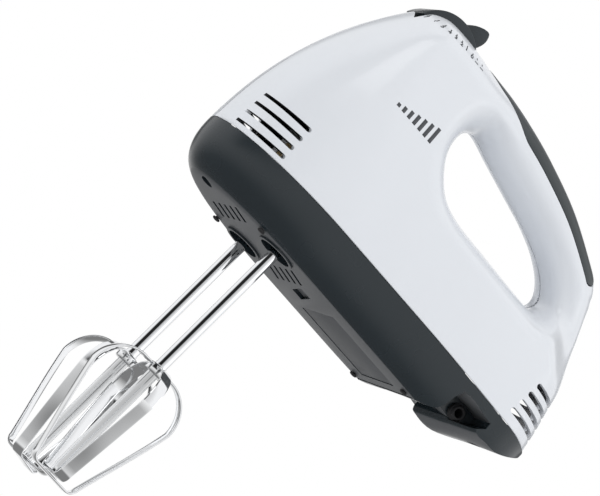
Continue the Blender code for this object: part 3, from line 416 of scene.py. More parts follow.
def metal(name, colour, rough, stretch=(1, 1, 1), scale=400.0, grain=0.03, vary=0.08, wave=0.0):
    """Metal with a grain that can be stretched along an axis and, where wave is over 0, the slow wave of
    rolled strip."""
    material = bpy.data.materials.new(name)
    material.use_nodes = True
    tree = material.node_tree
    shader = tree.nodes["Principled BSDF"]
    shader.inputs["Metallic"].default_value = 1.0
    place = tree.nodes.new("ShaderNodeTexCoord")
    stretch_node = tree.nodes.new("ShaderNodeMapping")
    stretch_node.inputs["Scale"].default_value = stretch
    tree.links.new(place.outputs["Object"], stretch_node.inputs["Vector"])
    noise = tree.nodes.new("ShaderNodeTexNoise")
    noise.inputs["Scale"].default_value = scale
    noise.inputs["Detail"].default_value = 3.0
    tree.links.new(stretch_node.outputs["Vector"], noise.inputs["Vector"])
    tint = tree.nodes.new("ShaderNodeMix")
    tint.data_type = "RGBA"
    tint.inputs["A"].default_value = (*[c * (1 - vary) for c in colour], 1.0)
    tint.inputs["B"].default_value = (*[min(c * (1 + vary), 1.0) for c in colour], 1.0)
    tree.links.new(noise.outputs["Fac"], tint.inputs["Factor"])
    tree.links.new(tint.outputs["Result"], shader.inputs["Base Color"])
    gloss = tree.nodes.new("ShaderNodeMapRange")
    gloss.inputs["To Min"].default_value = rough * 0.7
    gloss.inputs["To Max"].default_value = rough * 1.3
    tree.links.new(noise.outputs["Fac"], gloss.inputs["Value"])
    tree.links.new(gloss.outputs["Result"], shader.inputs["Roughness"])
    bump = tree.nodes.new("ShaderNodeBump")
    bump.inputs["Strength"].default_value = grain
    bump.inputs["Distance"].default_value = 0.0001
    tree.links.new(noise.outputs["Fac"], bump.inputs["Height"])
    normal_out = bump.outputs["Normal"]
    if wave > 0:
        slow = tree.nodes.new("ShaderNodeTexNoise")
        slow.inputs["Scale"].default_value = 42.0
        slow.inputs["Detail"].default_value = 0.0
        tree.links.new(place.outputs["Object"], slow.inputs["Vector"])
        swell = tree.nodes.new("ShaderNodeBump")
        swell.inputs["Strength"].default_value = wave
        swell.inputs["Distance"].default_value = 0.002
        tree.links.new(slow.outputs["Fac"], swell.inputs["Height"])
        tree.links.new(normal_out, swell.inputs["Normal"])
        normal_out = swell.outputs["Normal"]
    tree.links.new(normal_out, shader.inputs["Normal"])
    return material


LOOKS = {
    "white_plastic": plastic("white_gloss", (0.72, 0.745, 0.785), 0.24, 0.03, 700, 0.012, 0.25),
    # Painted shade: this near-black goes on the inner faces behind the front vents and stands in for the shade
    # inside the housing.
    "housing_inside_painted_shade": plastic("housing_inside_painted_shade", (0.03, 0.031, 0.034), 0.6, 0.1, 900, 0.1),
    # Its faces that look down get a lighter grey, a painted reflection of the pale floor, with a matte
    # roughness.
    "dark_plastic": plastic("charcoal_gloss", (0.014, 0.021, 0.026), 0.26, 0.05, 900, 0.10, 0.1,
                            ((0.085, 0.09, 0.097), 0.55)),
    "dark_matte": plastic("charcoal_matte", (0.075, 0.08, 0.087), 0.55, 0.12, 1400, 0.08),
    "grip": plastic("charcoal_grip", (0.030, 0.038, 0.042), 0.42, 0.35, 1500, 0.12),
    "rubber": plastic("black_rubber", (0.018, 0.018, 0.02), 0.62, 0.2, 1600, 0.15),
    "chrome": metal("chrome", (0.86, 0.87, 0.88), 0.05, (1, 1, 0.2), 250, 0.01, 0.02),
    "blade_chrome": metal("blade_chrome", (0.88, 0.89, 0.90), 0.07, (1, 1, 0.2), 250, 0.01, 0.02, 0.8),
    "steel": metal("steel", (0.52, 0.52, 0.53), 0.32, (0.2, 1, 1), 900, 0.08),
    "brass": metal("brass", (0.62, 0.46, 0.20), 0.30, (1, 1, 1), 700, 0.08),
    "copper": metal("copper_wire", (0.70, 0.32, 0.14), 0.32, (1, 0.2, 0.2), 1800, 0.35, 0.2),
    "cast_alloy": metal("cast_alloy", (0.60, 0.60, 0.61), 0.48, (1, 1, 1), 1200, 0.3),
    "nylon": plastic("nylon", (0.78, 0.76, 0.66), 0.42, 0.08, 800, 0.05),
    "black_plastic": plastic("black_plastic", (0.014, 0.014, 0.016), 0.5, 0.1, 1200, 0.12),
    "board": plastic("board", (0.02, 0.13, 0.055), 0.38, 0.12, 2400, 0.18),
    "capacitor": plastic("capacitor", (0.72, 0.50, 0.07), 0.33, 0.05, 800, 0.06),
    "print": plastic("grey_print", (0.055, 0.06, 0.068), 0.45, 0.05, 2500, 0.08),
}


def finish_piece(obj, body, look, nodes=()):
    """Gives a piece its material, body and replaced nodes."""
    obj.data.materials.clear()
    obj.data.materials.append(LOOKS[look])
    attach(obj, body)
    if nodes:
        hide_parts(*nodes)


# ---------------------------------------------------------------- white housing

def edge_pairs(density):
    """Matching points round the outside of the side view and round the hand hole."""
    foot = SEAM_Z + GAP / 2
    pairs = []

    def hole_point(t):
        return HOLE_LINE[int(round(t * PER)) % len(HOLE_LINE)]

    def crown_point(t):
        return CROWN_LINE[int(round(t * PER))]

    def stretch(count, outside, start, end):
        for k in range(count):
            t = k / count
            pairs.append((outside(t), hole_point(mix(start, end, t))))

    stretch(11 * density, lambda t: (front_x(mix(foot, 116, t ** 0.9)), mix(foot, 116, t ** 0.9)), 0, 1.6)
    stretch(8 * density, lambda t: crown_point(5 * t), 1.6, 4)
    stretch(9 * density, lambda t: crown_point(mix(5, CORNER, t)), 4, 9)

    def back_point(t):
        z = mix(CROWN[CORNER][1], foot, t)
        return (float(back_x(z)), z)

    stretch(8 * density, back_point, 9, 11.5)
    stretch(14 * density, lambda t: (mix(float(back_x(foot)), NOSE_X, t), foot), 11.5, 16)
    return np.array([p[0] for p in pairs], float), np.array([p[1] for p in pairs], float)


def strip_half(x, grow):
    """Half width of the grip strip at x: full, with rounded ends."""
    front = np.clip((x - GRIP_ENDS[0] + grow) / 9.0, 0.0, 1.0)
    back = np.clip((GRIP_ENDS[1] + grow - x) / 8.0, 0.0, 1.0)
    ends = np.sqrt(np.maximum(1 - (1 - front) ** 2, 0.0)) * np.sqrt(np.maximum(1 - (1 - back) ** 2, 0.0))
    return (GRIP_HALF + grow) * ends


def strip_rings(grow, over, under, stations=90, across=28):
    """Sections of the grip strip, or with grow of its recess. Each is a closed ring that runs over the skin
    and back under it."""
    u = np.linspace(0, 1, stations + 1)
    xs = mix(GRIP_ENDS[0] - grow, GRIP_ENDS[1] + grow, (1 - np.cos(math.pi * u)) / 2)
    s = np.sin(np.linspace(-math.pi / 2, math.pi / 2, across + 1))
    rings = []
    for x in xs:
        wide = max(float(strip_half(x, grow)), THIN_EDGE)
        y = wide * s
        at = np.full_like(y, x)
        z = crown_at(at, y)
        slope = (crown_at(at, y + 0.1) - crown_at(at, y - 0.1)) / 0.2
        normal = np.stack([np.zeros_like(y), -slope, np.ones_like(y)], -1)
        normal /= np.linalg.norm(normal, axis=1)[:, None]
        skin_points = np.stack([at, y, z], -1)
        edge = 1 - np.abs(s) ** 9
        lift = over if grow else mix(-0.25, over, edge)
        top = skin_points + normal * np.reshape(lift * np.ones_like(y), (-1, 1))
        bottom = (skin_points + normal * under)[::-1]
        rings.append(np.concatenate([top, bottom]))
    return rings


def fork(grow):
    """The white tongue between the two tails at the back end of the strip."""
    middle, reach, half = GRIP_ENDS[1] + 0.5, 10.0 - grow, 9.8 - grow
    a = np.linspace(-math.pi / 2, math.pi / 2, 41)
    outline = [(middle - reach * math.cos(t), half * math.sin(t)) for t in a]
    return prism("fork", outline + [(middle + 8.0, half), (middle + 8.0, -half)], 60, 140, "XY")


def capsule(x0, x1, z, low_half, high_half, steps=10):
    """Outline of a slot with round ends, low_half high at x0 and high_half at x1."""
    right = [(x1 - high_half + high_half * math.cos(a), z + high_half * math.sin(a))
             for a in np.linspace(-math.pi / 2, math.pi / 2, steps)]
    left = [(x0 + low_half - low_half * math.cos(a), z - low_half * math.sin(a))
            for a in np.linspace(-math.pi / 2, math.pi / 2, steps)]
    return right + left


def slider_room():
    radius = SLIDER_R + GAP
    front, back = -24.2, 8.6
    start = math.degrees(math.acos((front - SLIDER[0]) / radius))
    end = 360 + math.degrees(math.acos((back - SLIDER[0]) / radius))
    return [(back, 140), (front, 140)] + arc(radius, start, end, 90)


def make_shell(side, word):
    """One white half: a skin between the outline and the hand hole, made hollow and then cut."""
    outside, inside = edge_pairs(5)
    rows = 40
    t = (1.0 - np.cos(math.pi * np.arange(rows + 1) / rows)) / 2
    grid = inside[:, None, :] + (outside - inside)[:, None, :] * t[None, :, None]
    x, z = grid[..., 0], grid[..., 1]
    y = np.maximum(half_width(x, z), THIN_EDGE)
    y = y - 0.3 * np.clip((SEAM_Z + 0.6 - z) / 0.45, 0.0, 1.0) ** 2
    verts = np.stack([x, side * y, z], -1).reshape(-1, 3)
    count, across = len(grid), rows + 1
    faces = []
    for k in range(count):
        for j in range(rows):
            a, b = k * across + j, ((k + 1) % count) * across + j
            faces.append((a, a + 1, b + 1, b))
    shell = piece(f"shell_{word}", verts, faces)
    if sum(face.normal.y * face.area for face in shell.data.polygons) * side < 0:
        shell.data.flip_normals()
    wall = shell.modifiers.new("wall", "SOLIDIFY")
    wall.thickness = WALL * MM
    wall.offset = -1.0
    apply_modifiers(shell)
    tools = [prism("room", slider_room(), -SLIDER_HALF - 0.4, SLIDER_HALF + 0.4)]
    for k in range(VENTS):
        front_z, back_z = 24.6 + VENT_PITCH * k, 27.0 + VENT_PITCH * k
        ys = sorted((side * 13.0, side * OUTSIDE_Y))
        tools.append(prism("vent", capsule(-58, -28.8, front_z, 0.55, 1.0), *ys))
        ys = sorted((side * 4.0, side * OUTSIDE_Y))
        tools.append(prism("vent", capsule(112.0 + 0.6 * k, 160, back_z, 1.25, 1.25), *ys))
    boolean(shell, merged("tools", tools), "DIFFERENCE")
    recess = piece("strip_room", *skin(strip_rings(GAP, 3.0, -1.8, 60, 20)))
    boolean(recess, fork(GAP), "DIFFERENCE")
    boolean(shell, recess, "DIFFERENCE")
    shade(shell, 28)
    finish_piece(shell, "housing", "white_plastic", [f"upper_housing_{word}"])
    # Painted shade: inner faces and vent walls deeper than most of the wall, behind the front vents, get the
    # near-black material in place of the shade inside.
    shell.data.materials.append(LOOKS["housing_inside_painted_shade"])
    for face in shell.data.polygons:
        x, y, z = face.center / MM
        deep = float(half_width(x, z)) - abs(y) > 0.85 * WALL
        if deep and x < PAINTED_SHADE_X and z < PAINTED_SHADE_Z:
            face.material_index = 1


# ---------------------------------------------------------------- dark base

def plan_loft(name, heights, start, end, half, count=72):
    """A solid through level sections. start and half give each section's front and its half width."""
    rings = []
    u = (1.0 - np.cos(math.pi * np.arange(count + 1) / count)) / 2
    for z in heights:
        x = mix(start(z), end, u)
        y = half(x, z)
        y[0] = y[-1] = 0.0
        near = np.stack([x, -y, np.full_like(x, z)], -1)
        far = np.stack([x, y, np.full_like(x, z)], -1)[-2:0:-1]
        rings.append(np.concatenate([near, far]))
    return piece(name, *skin(rings))


def belly_ring(y):
    """Outline of the space under the base at y. Sideways the heel's lip sweeps back and up."""
    back, rise = 0.39 * abs(y), 0.215 * abs(y)
    ceiling = rise if abs(y) > POCKET_Y else 0.0
    shifts = [(0, 0), (0, 0), (0, ceiling), (back, ceiling), (back, rise), (back, rise), (0.6 * back, rise)]
    moved = [(x + right, z + up) for (x, z), (right, up) in zip(BELLY, shifts)] + BELLY[len(shifts):]
    outline = [tuple(p) for p in spline(moved, 5)] + [(160, 25), (160, -40), (80.4, -40)]
    return [(x, y, z) for x, z in outline]


BELLY_HALVES = [0.0, 3.0, 6.0, 9.0, 12.0, 15.0, POCKET_Y - 0.1, POCKET_Y + 0.8, 22.0, 26.0, 30.0, 34.0, 40.0]
BELLY_STATIONS = [-y for y in BELLY_HALVES[:0:-1]] + BELLY_HALVES


def make_base():
    """The dark base: a hollow tray with the heel's lip, the cord pockets, the sockets and the vents."""
    top = SEAM_Z - GAP / 2
    drops = np.sin(np.linspace(0, math.pi / 2, 20))
    heights = [top] + [top * (1 - d) for d in drops[1:]]
    base = plan_loft("base_shell", heights, base_front_x, BACK_X, base_half_width)
    low = [top + 4, top, 17.0, 12.0, 7.0, WALL + 0.1]
    room = plan_loft("room", low, lambda z: base_front_x(z) + WALL, BACK_X - WALL,
                     lambda x, z: base_half_width(x, z, WALL), 40)
    rest = prism("rest", [(84, -5), (150, -5), (150, 19.3), (90, 19.3), (90, 8), (84, 0)], -60, 60)
    boolean(room, rest, "DIFFERENCE")
    boolean(base, room, "DIFFERENCE")
    boolean(base, piece("below", *skin([belly_ring(y) for y in BELLY_STATIONS])), "DIFFERENCE")
    pocket = [(84, -8), (91.5, 5), (92.6, 8), (91.5, 16.4), (101.0, 16.9), (110.5, 16.4), (111.0, 13.6),
              (107.5, 10.2), (95.4, 3.7), (93.8, 4.6)]
    for side in (-1, 1):
        ys = sorted((side * POCKET_Y, side * OUTSIDE_Y))
        boolean(base, prism("notch", pocket, *ys), "DIFFERENCE")
    for side in (-1, 1):
        centre = (0, side * BEATER_Y, 0)
        boolean(base, cylinder("rim", "Z", centre, 9.0, -0.9, 6.5, 64), "UNION")
        boolean(base, cylinder("hole", "Z", centre, 7.5, -3, 12, 64), "DIFFERENCE")
    tools = [prism("window", [(22.4, -7.0), (28.2, -7.0), (30.8, 8.0), (25.0, 8.0)], -1, 1.5, "XY"),
             box("slot", (45.4, 50.6), (-5, -3.6), (-1, 1.2)),
             box("plate_room", (37, 76), (-17.5, 18), (-1, 1.4))]
    for word, (x, y) in SCREWS.items():
        floor = 5.6 if word == "front" else 15.2
        tools.append(cylinder("recess", "Z", (x, y, 0), 2.9, -2, floor, 40))
    for k in range(5):
        for x in (-24.0, 11.0):
            y = -17.0 + 6.6 * k
            bar = [(x, y), (x + 9.0, y + 4.6), (x + 9.0, y + 7.0), (x, y + 2.4)]
            tools.append(prism("vent", bar, -1, 1.3, "XY"))
    tools.append(box("cross_groove", (80.0, 80.7), (-30.0, 30.0), (-1, 0.7)))
    boolean(base, merged("tools", tools), "DIFFERENCE")
    boolean(base, cylinder("gland_hole", "Y", (GLAND[0], 0, GLAND[1]), 2.9, -26, -8, 32), "DIFFERENCE")
    shade(base, 25)
    finish_piece(base, "housing", "dark_plastic", ["base_housing"])


def make_fittings():
    plate = box("base_plate", (37.3, 75.7), (-17.2, 17.7), (0.15, 1.1))
    bevel(plate, 0.3)
    shade(plate)
    finish_piece(plate, "housing", "dark_matte", ["cover_plate"])
    for k, (x, y) in enumerate(FEET):
        profile = [(0, 3.4), (0.85, 3.3), (0.9, -0.25), (1.5, -0.3), (1.72, -0.5), (1.74, -0.8),
                   (1.55, -1.1), (1.1, -1.28), (0.5, -1.3), (0, -1.3)]
        foot = turned(f"rubber_foot_{k + 1}", profile, "Z", (x, y, 0), 32)
        finish_piece(foot, "housing", "rubber", [f"foot_{k + 1}"])
    for word, (x, y) in SCREWS.items():
        seat = 2.4 if word == "front" else 12.0
        head = seat + 2.9
        profile = [(0, 31.0), (1.1, 29.8), (1.1, head), (2.4, head), (2.5, head - 0.2), (2.5, seat + 0.9),
                   (2.3, seat + 0.35), (1.7, seat), (0, seat)]
        screw = turned(f"screw_{word}", profile, "Z", (x, y, 0), 40)
        for half_x, half_y in ((1.6, 0.35), (0.35, 1.6)):
            xs, ys = (x - half_x, x + half_x), (y - half_y, y + half_y)
            boolean(screw, box("arm", xs, ys, (seat - 1, seat + 1.1)), "DIFFERENCE")
        shade(screw)
        finish_piece(screw, "housing", "steel", [f"base_screw_{word}"])
    profile = [(1.8, -10.0), (1.8, -21.6), (2.1, -22.0), (2.6, -22.0), (3.0, -21.6), (3.1, -21.0),
               (2.8, -20.6), (3.4, -20.3), (3.6, -19.8), (3.3, -19.4), (3.6, -19.0), (3.6, -17.9),
               (2.6, -17.8), (2.6, -10.0)]
    gland = turned("gland", profile, "Y", (GLAND[0], 0, GLAND[1]), 40)
    finish_piece(gland, "housing", "rubber", ["cord_gland"])


# ---------------------------------------------------------------- grip, slider and beaters

def make_grip():
    grip = piece("grip", *skin(strip_rings(0.0, 0.45, -1.4)))
    boolean(grip, fork(0.0), "DIFFERENCE")
    shade(grip, 40)
    finish_piece(grip, "housing", "grip", ["grip_strip"])


def make_slider():
    low_end, high_end = -11, 158
    outer = arc(SLIDER_R, low_end, high_end, 90)
    inner = arc(SLIDER_R - SLIDER_WALL, high_end, low_end, 90)
    band = prism("slider", outer + inner, -SLIDER_HALF, SLIDER_HALF)
    bevel(band, 0.45)
    web = prism("web", arc(SLIDER_R - 1.0, low_end + 4, high_end - 4, 40) + [SLIDER], -1.5, 1.5)
    hub = cylinder("hub", "Y", (SLIDER[0], 0, SLIDER[1]), 4.2, -5, 5, 40)
    outline = [(-7.4, 121.8), (-6.3, 124.0), (-4.9, 125.3), (-3.4, 126.4), (-0.8, 127.7), (1.2, 128.2),
               (2.5, 127.9), (3.3, 126.6), (3.8, 124.7), (3.6, 122.5), (2.9, 120.4), (1.3, 117.9),
               (-4.0, 119.6)]
    fin = prism("fin", [tuple(p) for p in spline(outline[:11], 5)] + outline[11:], -6.4, 6.4)
    bevel(fin, 0.9, 4)
    for tool in (fin, web, hub):
        boolean(band, tool, "UNION")
    boolean(band, cylinder("bore", "Y", (SLIDER[0], 0, SLIDER[1]), 2.1, -30, 30, 32), "DIFFERENCE")
    shade(band, 35)
    finish_piece(band, "slider", "dark_plastic", ["speed_slider"])


def blade_path(foot_z):
    """Half of a cage loop as (radius, height): over the shoulder, down the leg and round the foot."""
    top = CAGE_TOP_Z - 0.5
    widest_z = CAGE_TOP_Z - 15.5
    points = [(5.0, top), (6.5, top - 0.05)]
    for k in range(19):
        angle = math.pi / 2 * (1 - k / 18)
        points.append((8.0 + (CAGE_R - 8.0) * math.cos(angle), widest_z + (top - widest_z) * math.sin(angle)))
    corner = 3.4
    knee_z, knee_r = foot_z + corner, CAGE_FOOT_R
    start, end = np.array(points[-1]), np.array((knee_r, knee_z))
    bow = np.array((0.5, 0.0))
    for t in np.linspace(0.08, 1, 16):
        points.append(tuple(start + (end - start) * t + bow * math.sin(math.pi * t) * (1 - t)))
    for k in range(1, 11):
        angle = math.pi / 2 * k / 10
        points.append((knee_r - corner * (1 - math.cos(angle)), knee_z - corner * math.sin(angle)))
    points.append((knee_r - corner - 4.0, foot_z))
    return points


def make_blade(name, side, foot_z, turn, node, body):
    half = blade_path(foot_z)
    flat = np.array(half + [(-r, z) for r, z in reversed(half)])
    ahead = np.gradient(flat, axis=0)
    normal = np.stack([-ahead[:, 1], ahead[:, 0]], -1)
    normal /= np.linalg.norm(normal, axis=1)[:, None]
    c, s = math.cos(turn), math.sin(turn)
    path = np.stack([flat[:, 0] * c, flat[:, 0] * s + side * BEATER_Y, flat[:, 1]], -1)
    sides = np.stack([normal[:, 0] * c, normal[:, 0] * s, normal[:, 1]], -1)
    blade = sweep(name, path, sides, BLADE_HALF_WIDE, BLADE_HALF_THICK, np.array([-s, c, 0.0]))
    finish_piece(blade, body, "blade_chrome", [node])


def make_beater(word, side, turn):
    body = f"{word}_beater"
    centre = (0, side * BEATER_Y, 0)
    top, foot = 47.0, BEATER_TIP_Z + 2.6
    profile = [(0, top), (1.4, top), (2.2, top - 0.4), (SHAFT_R, top - 1.4), (SHAFT_R, -5.0),
               (SHAFT_R, -62.0), (SHAFT_R, -64.0), (2.75, -64.6), (2.75, -65.3), (SHAFT_R, -65.6),
               (SHAFT_R, foot + 3.4), (2.3, foot + 2.6), (2.3, foot), (0, foot)]
    shaft = turned(f"shaft_{word}", profile, "Z", centre, 64)
    finish_piece(shaft, body, "chrome", [f"beater_shaft_{word}"])
    z = CAGE_TOP_Z
    profile = [(2.7, z + 0.6), (3.6, z + 0.6), (4.2, z + 0.35), (4.55, z - 0.1), (4.6, z - 0.6),
               (4.6, z - 2.8), (4.4, z - 3.2), (3.9, z - 3.4), (2.7, z - 3.4)]
    collar = turned(f"collar_{word}", profile, "Z", centre, 64)
    finish_piece(collar, body, "chrome", [f"beater_collar_{word}"])
    for place, lift, quarter in (("outer", 0.5, 0.0), ("inner", 1.8, math.pi / 2)):
        node = f"beater_loop_{word}_{place}"
        make_blade(f"blade_{word}_{place}", side, BEATER_TIP_Z + lift, turn + quarter, node, body)


# ---------------------------------------------------------------- print on the housing

PRINT_LIFT, PRINT_THICK = 0.05, 0.06
SPEEDS = 7
SCALE_LINE = [(-23.2, -11.0, 111.0), (-20.6, -15.4, 111.3), (-17.7, -18.6, 111.5), (-14.6, -20.5, 111.7),
              (-11.3, -21.0, 112.1), (-7.7, -21.3, 112.1), (-4.7, -21.0, 112.4), (-1.0, -21.4, 112.0),
              (2.1, -21.1, 112.1), (5.5, -20.9, 112.1)]
# The highest speed is at the front. A mark without a number is a bar.
SCALE_MARKS = ["7", "6", "5", "4", "3", "2", "1", "0", "", ""]


def skin_frame(points):
    """Points on the skin with the direction along their line and the direction up towards the crown."""
    p = to_skin(points, 0.0)
    out = to_skin(points, 1.0) - p
    along = np.gradient(p, axis=0)
    along /= np.linalg.norm(along, axis=1)[:, None]
    out /= np.linalg.norm(out, axis=1)[:, None]
    up = np.cross(along, -out)
    up[up[:, 2] < 0] *= -1
    return p, along, up


def glyph_mesh(text, size):
    """Flat verts and faces of a number, centred, in millimetres."""
    curve = bpy.data.curves.new("glyph", "FONT")
    curve.body = text
    curve.size = size
    curve.offset = 0.035 * size
    curve.align_x = "CENTER"
    curve.align_y = "CENTER"
    source = bpy.data.objects.new("glyph", curve)
    bpy.context.scene.collection.objects.link(source)
    mesh = bpy.data.meshes.new_from_object(source.evaluated_get(bpy.context.evaluated_depsgraph_get()))
    verts = np.array([v.co[:2] for v in mesh.vertices])
    faces = [tuple(f.vertices) for f in mesh.polygons]
    bpy.data.objects.remove(source)
    return verts, faces


def print_piece(name, patches):
    """Thin printed shapes on the skin. patches are (origin, along, up, flat verts, faces)."""
    verts, faces = [], []
    for origin, along, up, flat, polygons in patches:
        first = len(verts)
        raised = to_skin(origin + flat[:, :1] * along + flat[:, 1:] * up, PRINT_LIFT)
        verts += raised.tolist()
        faces += [tuple(first + i for i in polygon) for polygon in polygons]
    obj = piece(name, verts, faces)
    if sum(face.normal.y * face.area for face in obj.data.polygons) > 0:
        obj.data.flip_normals()
    thick = obj.modifiers.new("thick", "SOLIDIFY")
    thick.thickness = PRINT_THICK * MM
    thick.offset = -1.0
    apply_modifiers(obj)
    finish_piece(obj, "housing", "print")


def bar_patch(u0, u1, v0, v1):
    """Flat verts and faces of a rectangle, in squares small enough to follow the skin."""
    nu, nv = 2, 6
    u, v = np.meshgrid(np.linspace(u0, u1, nu + 1), np.linspace(v0, v1, nv + 1), indexing="ij")
    flat = np.stack([u.ravel(), v.ravel()], -1)
    faces = [(i * (nv + 1) + j, (i + 1) * (nv + 1) + j, (i + 1) * (nv + 1) + j + 1, i * (nv + 1) + j + 1)
             for i in range(nu) for j in range(nv)]
    return flat, faces


def make_print():
    points, along, up = skin_frame(SCALE_LINE)
    patches = []
    for k, mark in enumerate(SCALE_MARKS):
        if mark:
            flat, faces = glyph_mesh(mark, 3.1)
        else:
            flat, faces = bar_patch(-1.0, 1.0, -0.9, -0.35)
        patches.append((points[k], along[k], up[k], flat, faces))
        flat, faces = bar_patch(-0.24, 0.24, 1.45, 2.9)
        patches.append((points[k], along[k], up[k], flat, faces))
    print_piece("speed_scale", patches)
    bars = []
    origin = np.array([-13.0, -36.0, 73.0])
    pitch, wide, shortest, growth = 3.3, 1.7, 1.6, 1.05
    for k in range(SPEEDS):
        flat, faces = bar_patch(pitch * k, pitch * k + wide, 0.0, shortest + growth * k)
        bars.append((origin, np.array([1.0, 0, 0]), np.array([0, 0, 1.0]), flat, faces))
    print_piece("speed_bars", bars)


# ---------------------------------------------------------------- build

for side, word in ((-1, "left"), (1, "right")):
    make_shell(side, word)
make_base()
make_fittings()
make_grip()
make_slider()
make_beater("left", -1, 0.0)
make_beater("right", 1, math.radians(45))
make_print()

SLOTS = {row["node"]: row["material_slot"] for row in frame["record"]["subparts"]}
for name, node in NODES.items():
    node.data.materials.clear()
    node.data.materials.append(LOOKS[SLOTS[name]])

# ---------------------------------------------------------------- camera, light and floor

AZIMUTH, ELEVATION, ROLL = math.radians(-18.4), math.radians(-10.9), math.radians(45.2)
CAMERA_PLACE_M = (-0.4236, -1.3101, -0.2539)
FLOOR_Z_M = -0.30
# What gloss sees at each angle round the upright, in degrees from the camera's side, and how bright it is
GLOSS_BANDS = [(-180, 0.9), (-166, 0.9), (-160, 0.12), (-148, 0.12), (-142, 0.95), (-78, 1.0), (-64, 0.5),
               (-57, 0.02), (-5, 0.02), (1, 0.55), (30, 0.75), (44, 1.0), (142, 1.0), (148, 0.15),
               (160, 0.15), (166, 0.9), (180, 0.9)]
back = Vector((math.sin(AZIMUTH) * math.cos(ELEVATION), -math.cos(AZIMUTH) * math.cos(ELEVATION),
               math.sin(ELEVATION)))
right = Vector((math.cos(AZIMUTH), math.sin(AZIMUTH), 0.0))
above = back.cross(right)
frame_right = math.cos(ROLL) * right + math.sin(ROLL) * above
frame_up = -math.sin(ROLL) * right + math.cos(ROLL) * above
lens = bpy.data.cameras.new("camera")
lens.sensor_width = 36.0
lens.lens = 210.0
lens.clip_start = 0.01
camera = bpy.data.objects.new("camera", lens)
camera.matrix_world = Matrix.Translation(Vector(CAMERA_PLACE_M)) @ Matrix(
    (frame_right, frame_up, back)).transposed().to_4x4()
bpy.context.scene.collection.objects.link(camera)
bpy.context.scene.camera = camera
bpy.context.scene.view_settings.view_transform = "Standard"


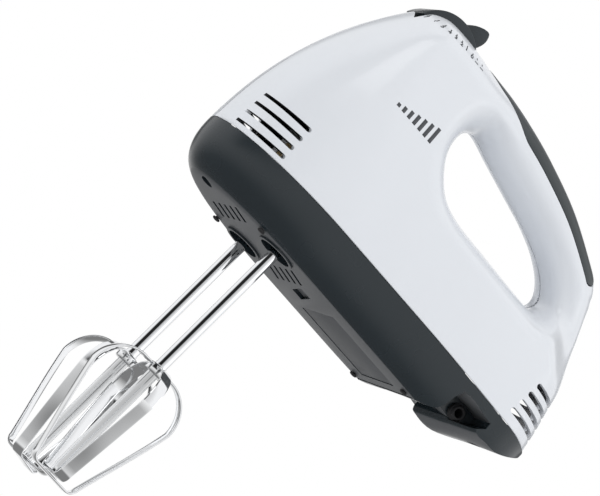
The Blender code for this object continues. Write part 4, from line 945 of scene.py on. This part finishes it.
def make_world():
    """Even pale light. The camera sees white past the object. Gloss sees bands of light and dark above the
    horizon, and below it a grey that darkens downwards."""
    world = bpy.data.worlds.new("studio")
    bpy.context.scene.world = world
    world.use_nodes = True
    tree = world.node_tree
    tree.nodes.clear()
    new, link = tree.nodes.new, tree.links.new
    place = new("ShaderNodeTexCoord")
    parts = new("ShaderNodeSeparateXYZ")
    link(place.outputs["Generated"], parts.inputs["Vector"])

    def dot(vector):
        node = new("ShaderNodeVectorMath")
        node.operation = "DOT_PRODUCT"
        node.inputs[1].default_value = vector
        link(place.outputs["Generated"], node.inputs[0])
        return node.outputs["Value"]

    towards = (math.sin(AZIMUTH), -math.cos(AZIMUTH), 0.0)
    sideways = (math.cos(AZIMUTH), math.sin(AZIMUTH), 0.0)
    turn = new("ShaderNodeMath")
    turn.operation = "ARCTAN2"
    link(dot(sideways), turn.inputs[0])
    link(dot(towards), turn.inputs[1])
    around = new("ShaderNodeMapRange")
    around.inputs["From Min"].default_value = -math.pi
    around.inputs["From Max"].default_value = math.pi
    link(turn.outputs[0], around.inputs["Value"])
    bands = new("ShaderNodeValToRGB")
    ramp = bands.color_ramp
    while len(ramp.elements) < len(GLOSS_BANDS):
        ramp.elements.new(0.5)
    for element, (angle, value) in zip(ramp.elements, GLOSS_BANDS):
        element.position = (angle + 180) / 360
    for element, (angle, value) in zip(ramp.elements, GLOSS_BANDS):
        element.color = (value, value, value * 1.01, 1.0)
    link(around.outputs["Result"], bands.inputs["Fac"])
    lower = new("ShaderNodeMapRange")
    lower.interpolation_type = "SMOOTHSTEP"
    lower.inputs["From Min"].default_value = -0.10
    lower.inputs["From Max"].default_value = 0.03
    link(parts.outputs["Z"], lower.inputs["Value"])
    gloss = new("ShaderNodeMix")
    gloss.data_type = "RGBA"
    below = new("ShaderNodeMapRange")
    below.inputs["From Min"].default_value = -0.5
    below.inputs["From Max"].default_value = -0.1
    below.inputs["To Min"].default_value = 0.22
    below.inputs["To Max"].default_value = 0.9
    link(parts.outputs["Z"], below.inputs["Value"])
    link(below.outputs["Result"], gloss.inputs["A"])
    link(lower.outputs["Result"], gloss.inputs["Factor"])
    link(bands.outputs["Color"], gloss.inputs["B"])
    even = new("ShaderNodeMapRange")
    even.inputs["From Min"].default_value = -1.0
    even.inputs["From Max"].default_value = 0.6
    even.inputs["To Min"].default_value = 0.56
    even.inputs["To Max"].default_value = 0.98
    link(parts.outputs["Z"], even.inputs["Value"])
    path = new("ShaderNodeLightPath")
    first = new("ShaderNodeMix")
    first.data_type = "RGBA"
    link(path.outputs["Is Glossy Ray"], first.inputs["Factor"])
    link(even.outputs["Result"], first.inputs["A"])
    link(gloss.outputs["Result"], first.inputs["B"])
    second = new("ShaderNodeMix")
    second.data_type = "RGBA"
    second.inputs["B"].default_value = (1.0, 1.0, 1.0, 1.0)
    link(path.outputs["Is Camera Ray"], second.inputs["Factor"])
    link(first.outputs["Result"], second.inputs["A"])
    shader = new("ShaderNodeBackground")
    link(second.outputs["Result"], shader.inputs["Color"])
    output = new("ShaderNodeOutputWorld")
    link(shader.outputs["Background"], output.inputs["Surface"])


def add_light(name, place, target, size, power):
    light = bpy.data.lights.new(name, "AREA")
    light.shape = "RECTANGLE"
    light.size, light.size_y = size
    light.energy = power
    lamp = bpy.data.objects.new(name, light)
    lamp.location = place
    lamp.rotation_euler = (Vector(target) - Vector(place)).to_track_quat("-Z", "Y").to_euler()
    bpy.context.scene.collection.objects.link(lamp)


def make_floor():
    """A wide pale sheet below the mixer and the camera, with a soft rise at its edge."""
    rings = []
    for radius, height in ((0.001, 0.0), (0.8, 0.0), (1.6, 0.0), (2.4, 0.01), (3.0, 0.08), (3.3, 0.3)):
        a = np.arange(96) * 2 * math.pi / 96
        level = np.full(96, height + FLOOR_Z_M)
        rings.append(np.stack([radius * np.cos(a), radius * np.sin(a), level], -1) / MM)
    floor = piece("floor", *skin(rings, caps=False))
    floor.data.materials.append(plastic("floor_sheet", (0.86, 0.865, 0.87), 0.6, 0.02, 60, 0.01))
    floor.visible_glossy = False


make_world()
add_light("key", (-0.9, -1.2, 1.3), (0.03, 0, 0.05), (0.9, 0.9), 5.0)
add_light("fill", (1.3, -0.8, 0.5), (0.05, 0, 0.05), (0.8, 1.2), 2.0)
make_floor()
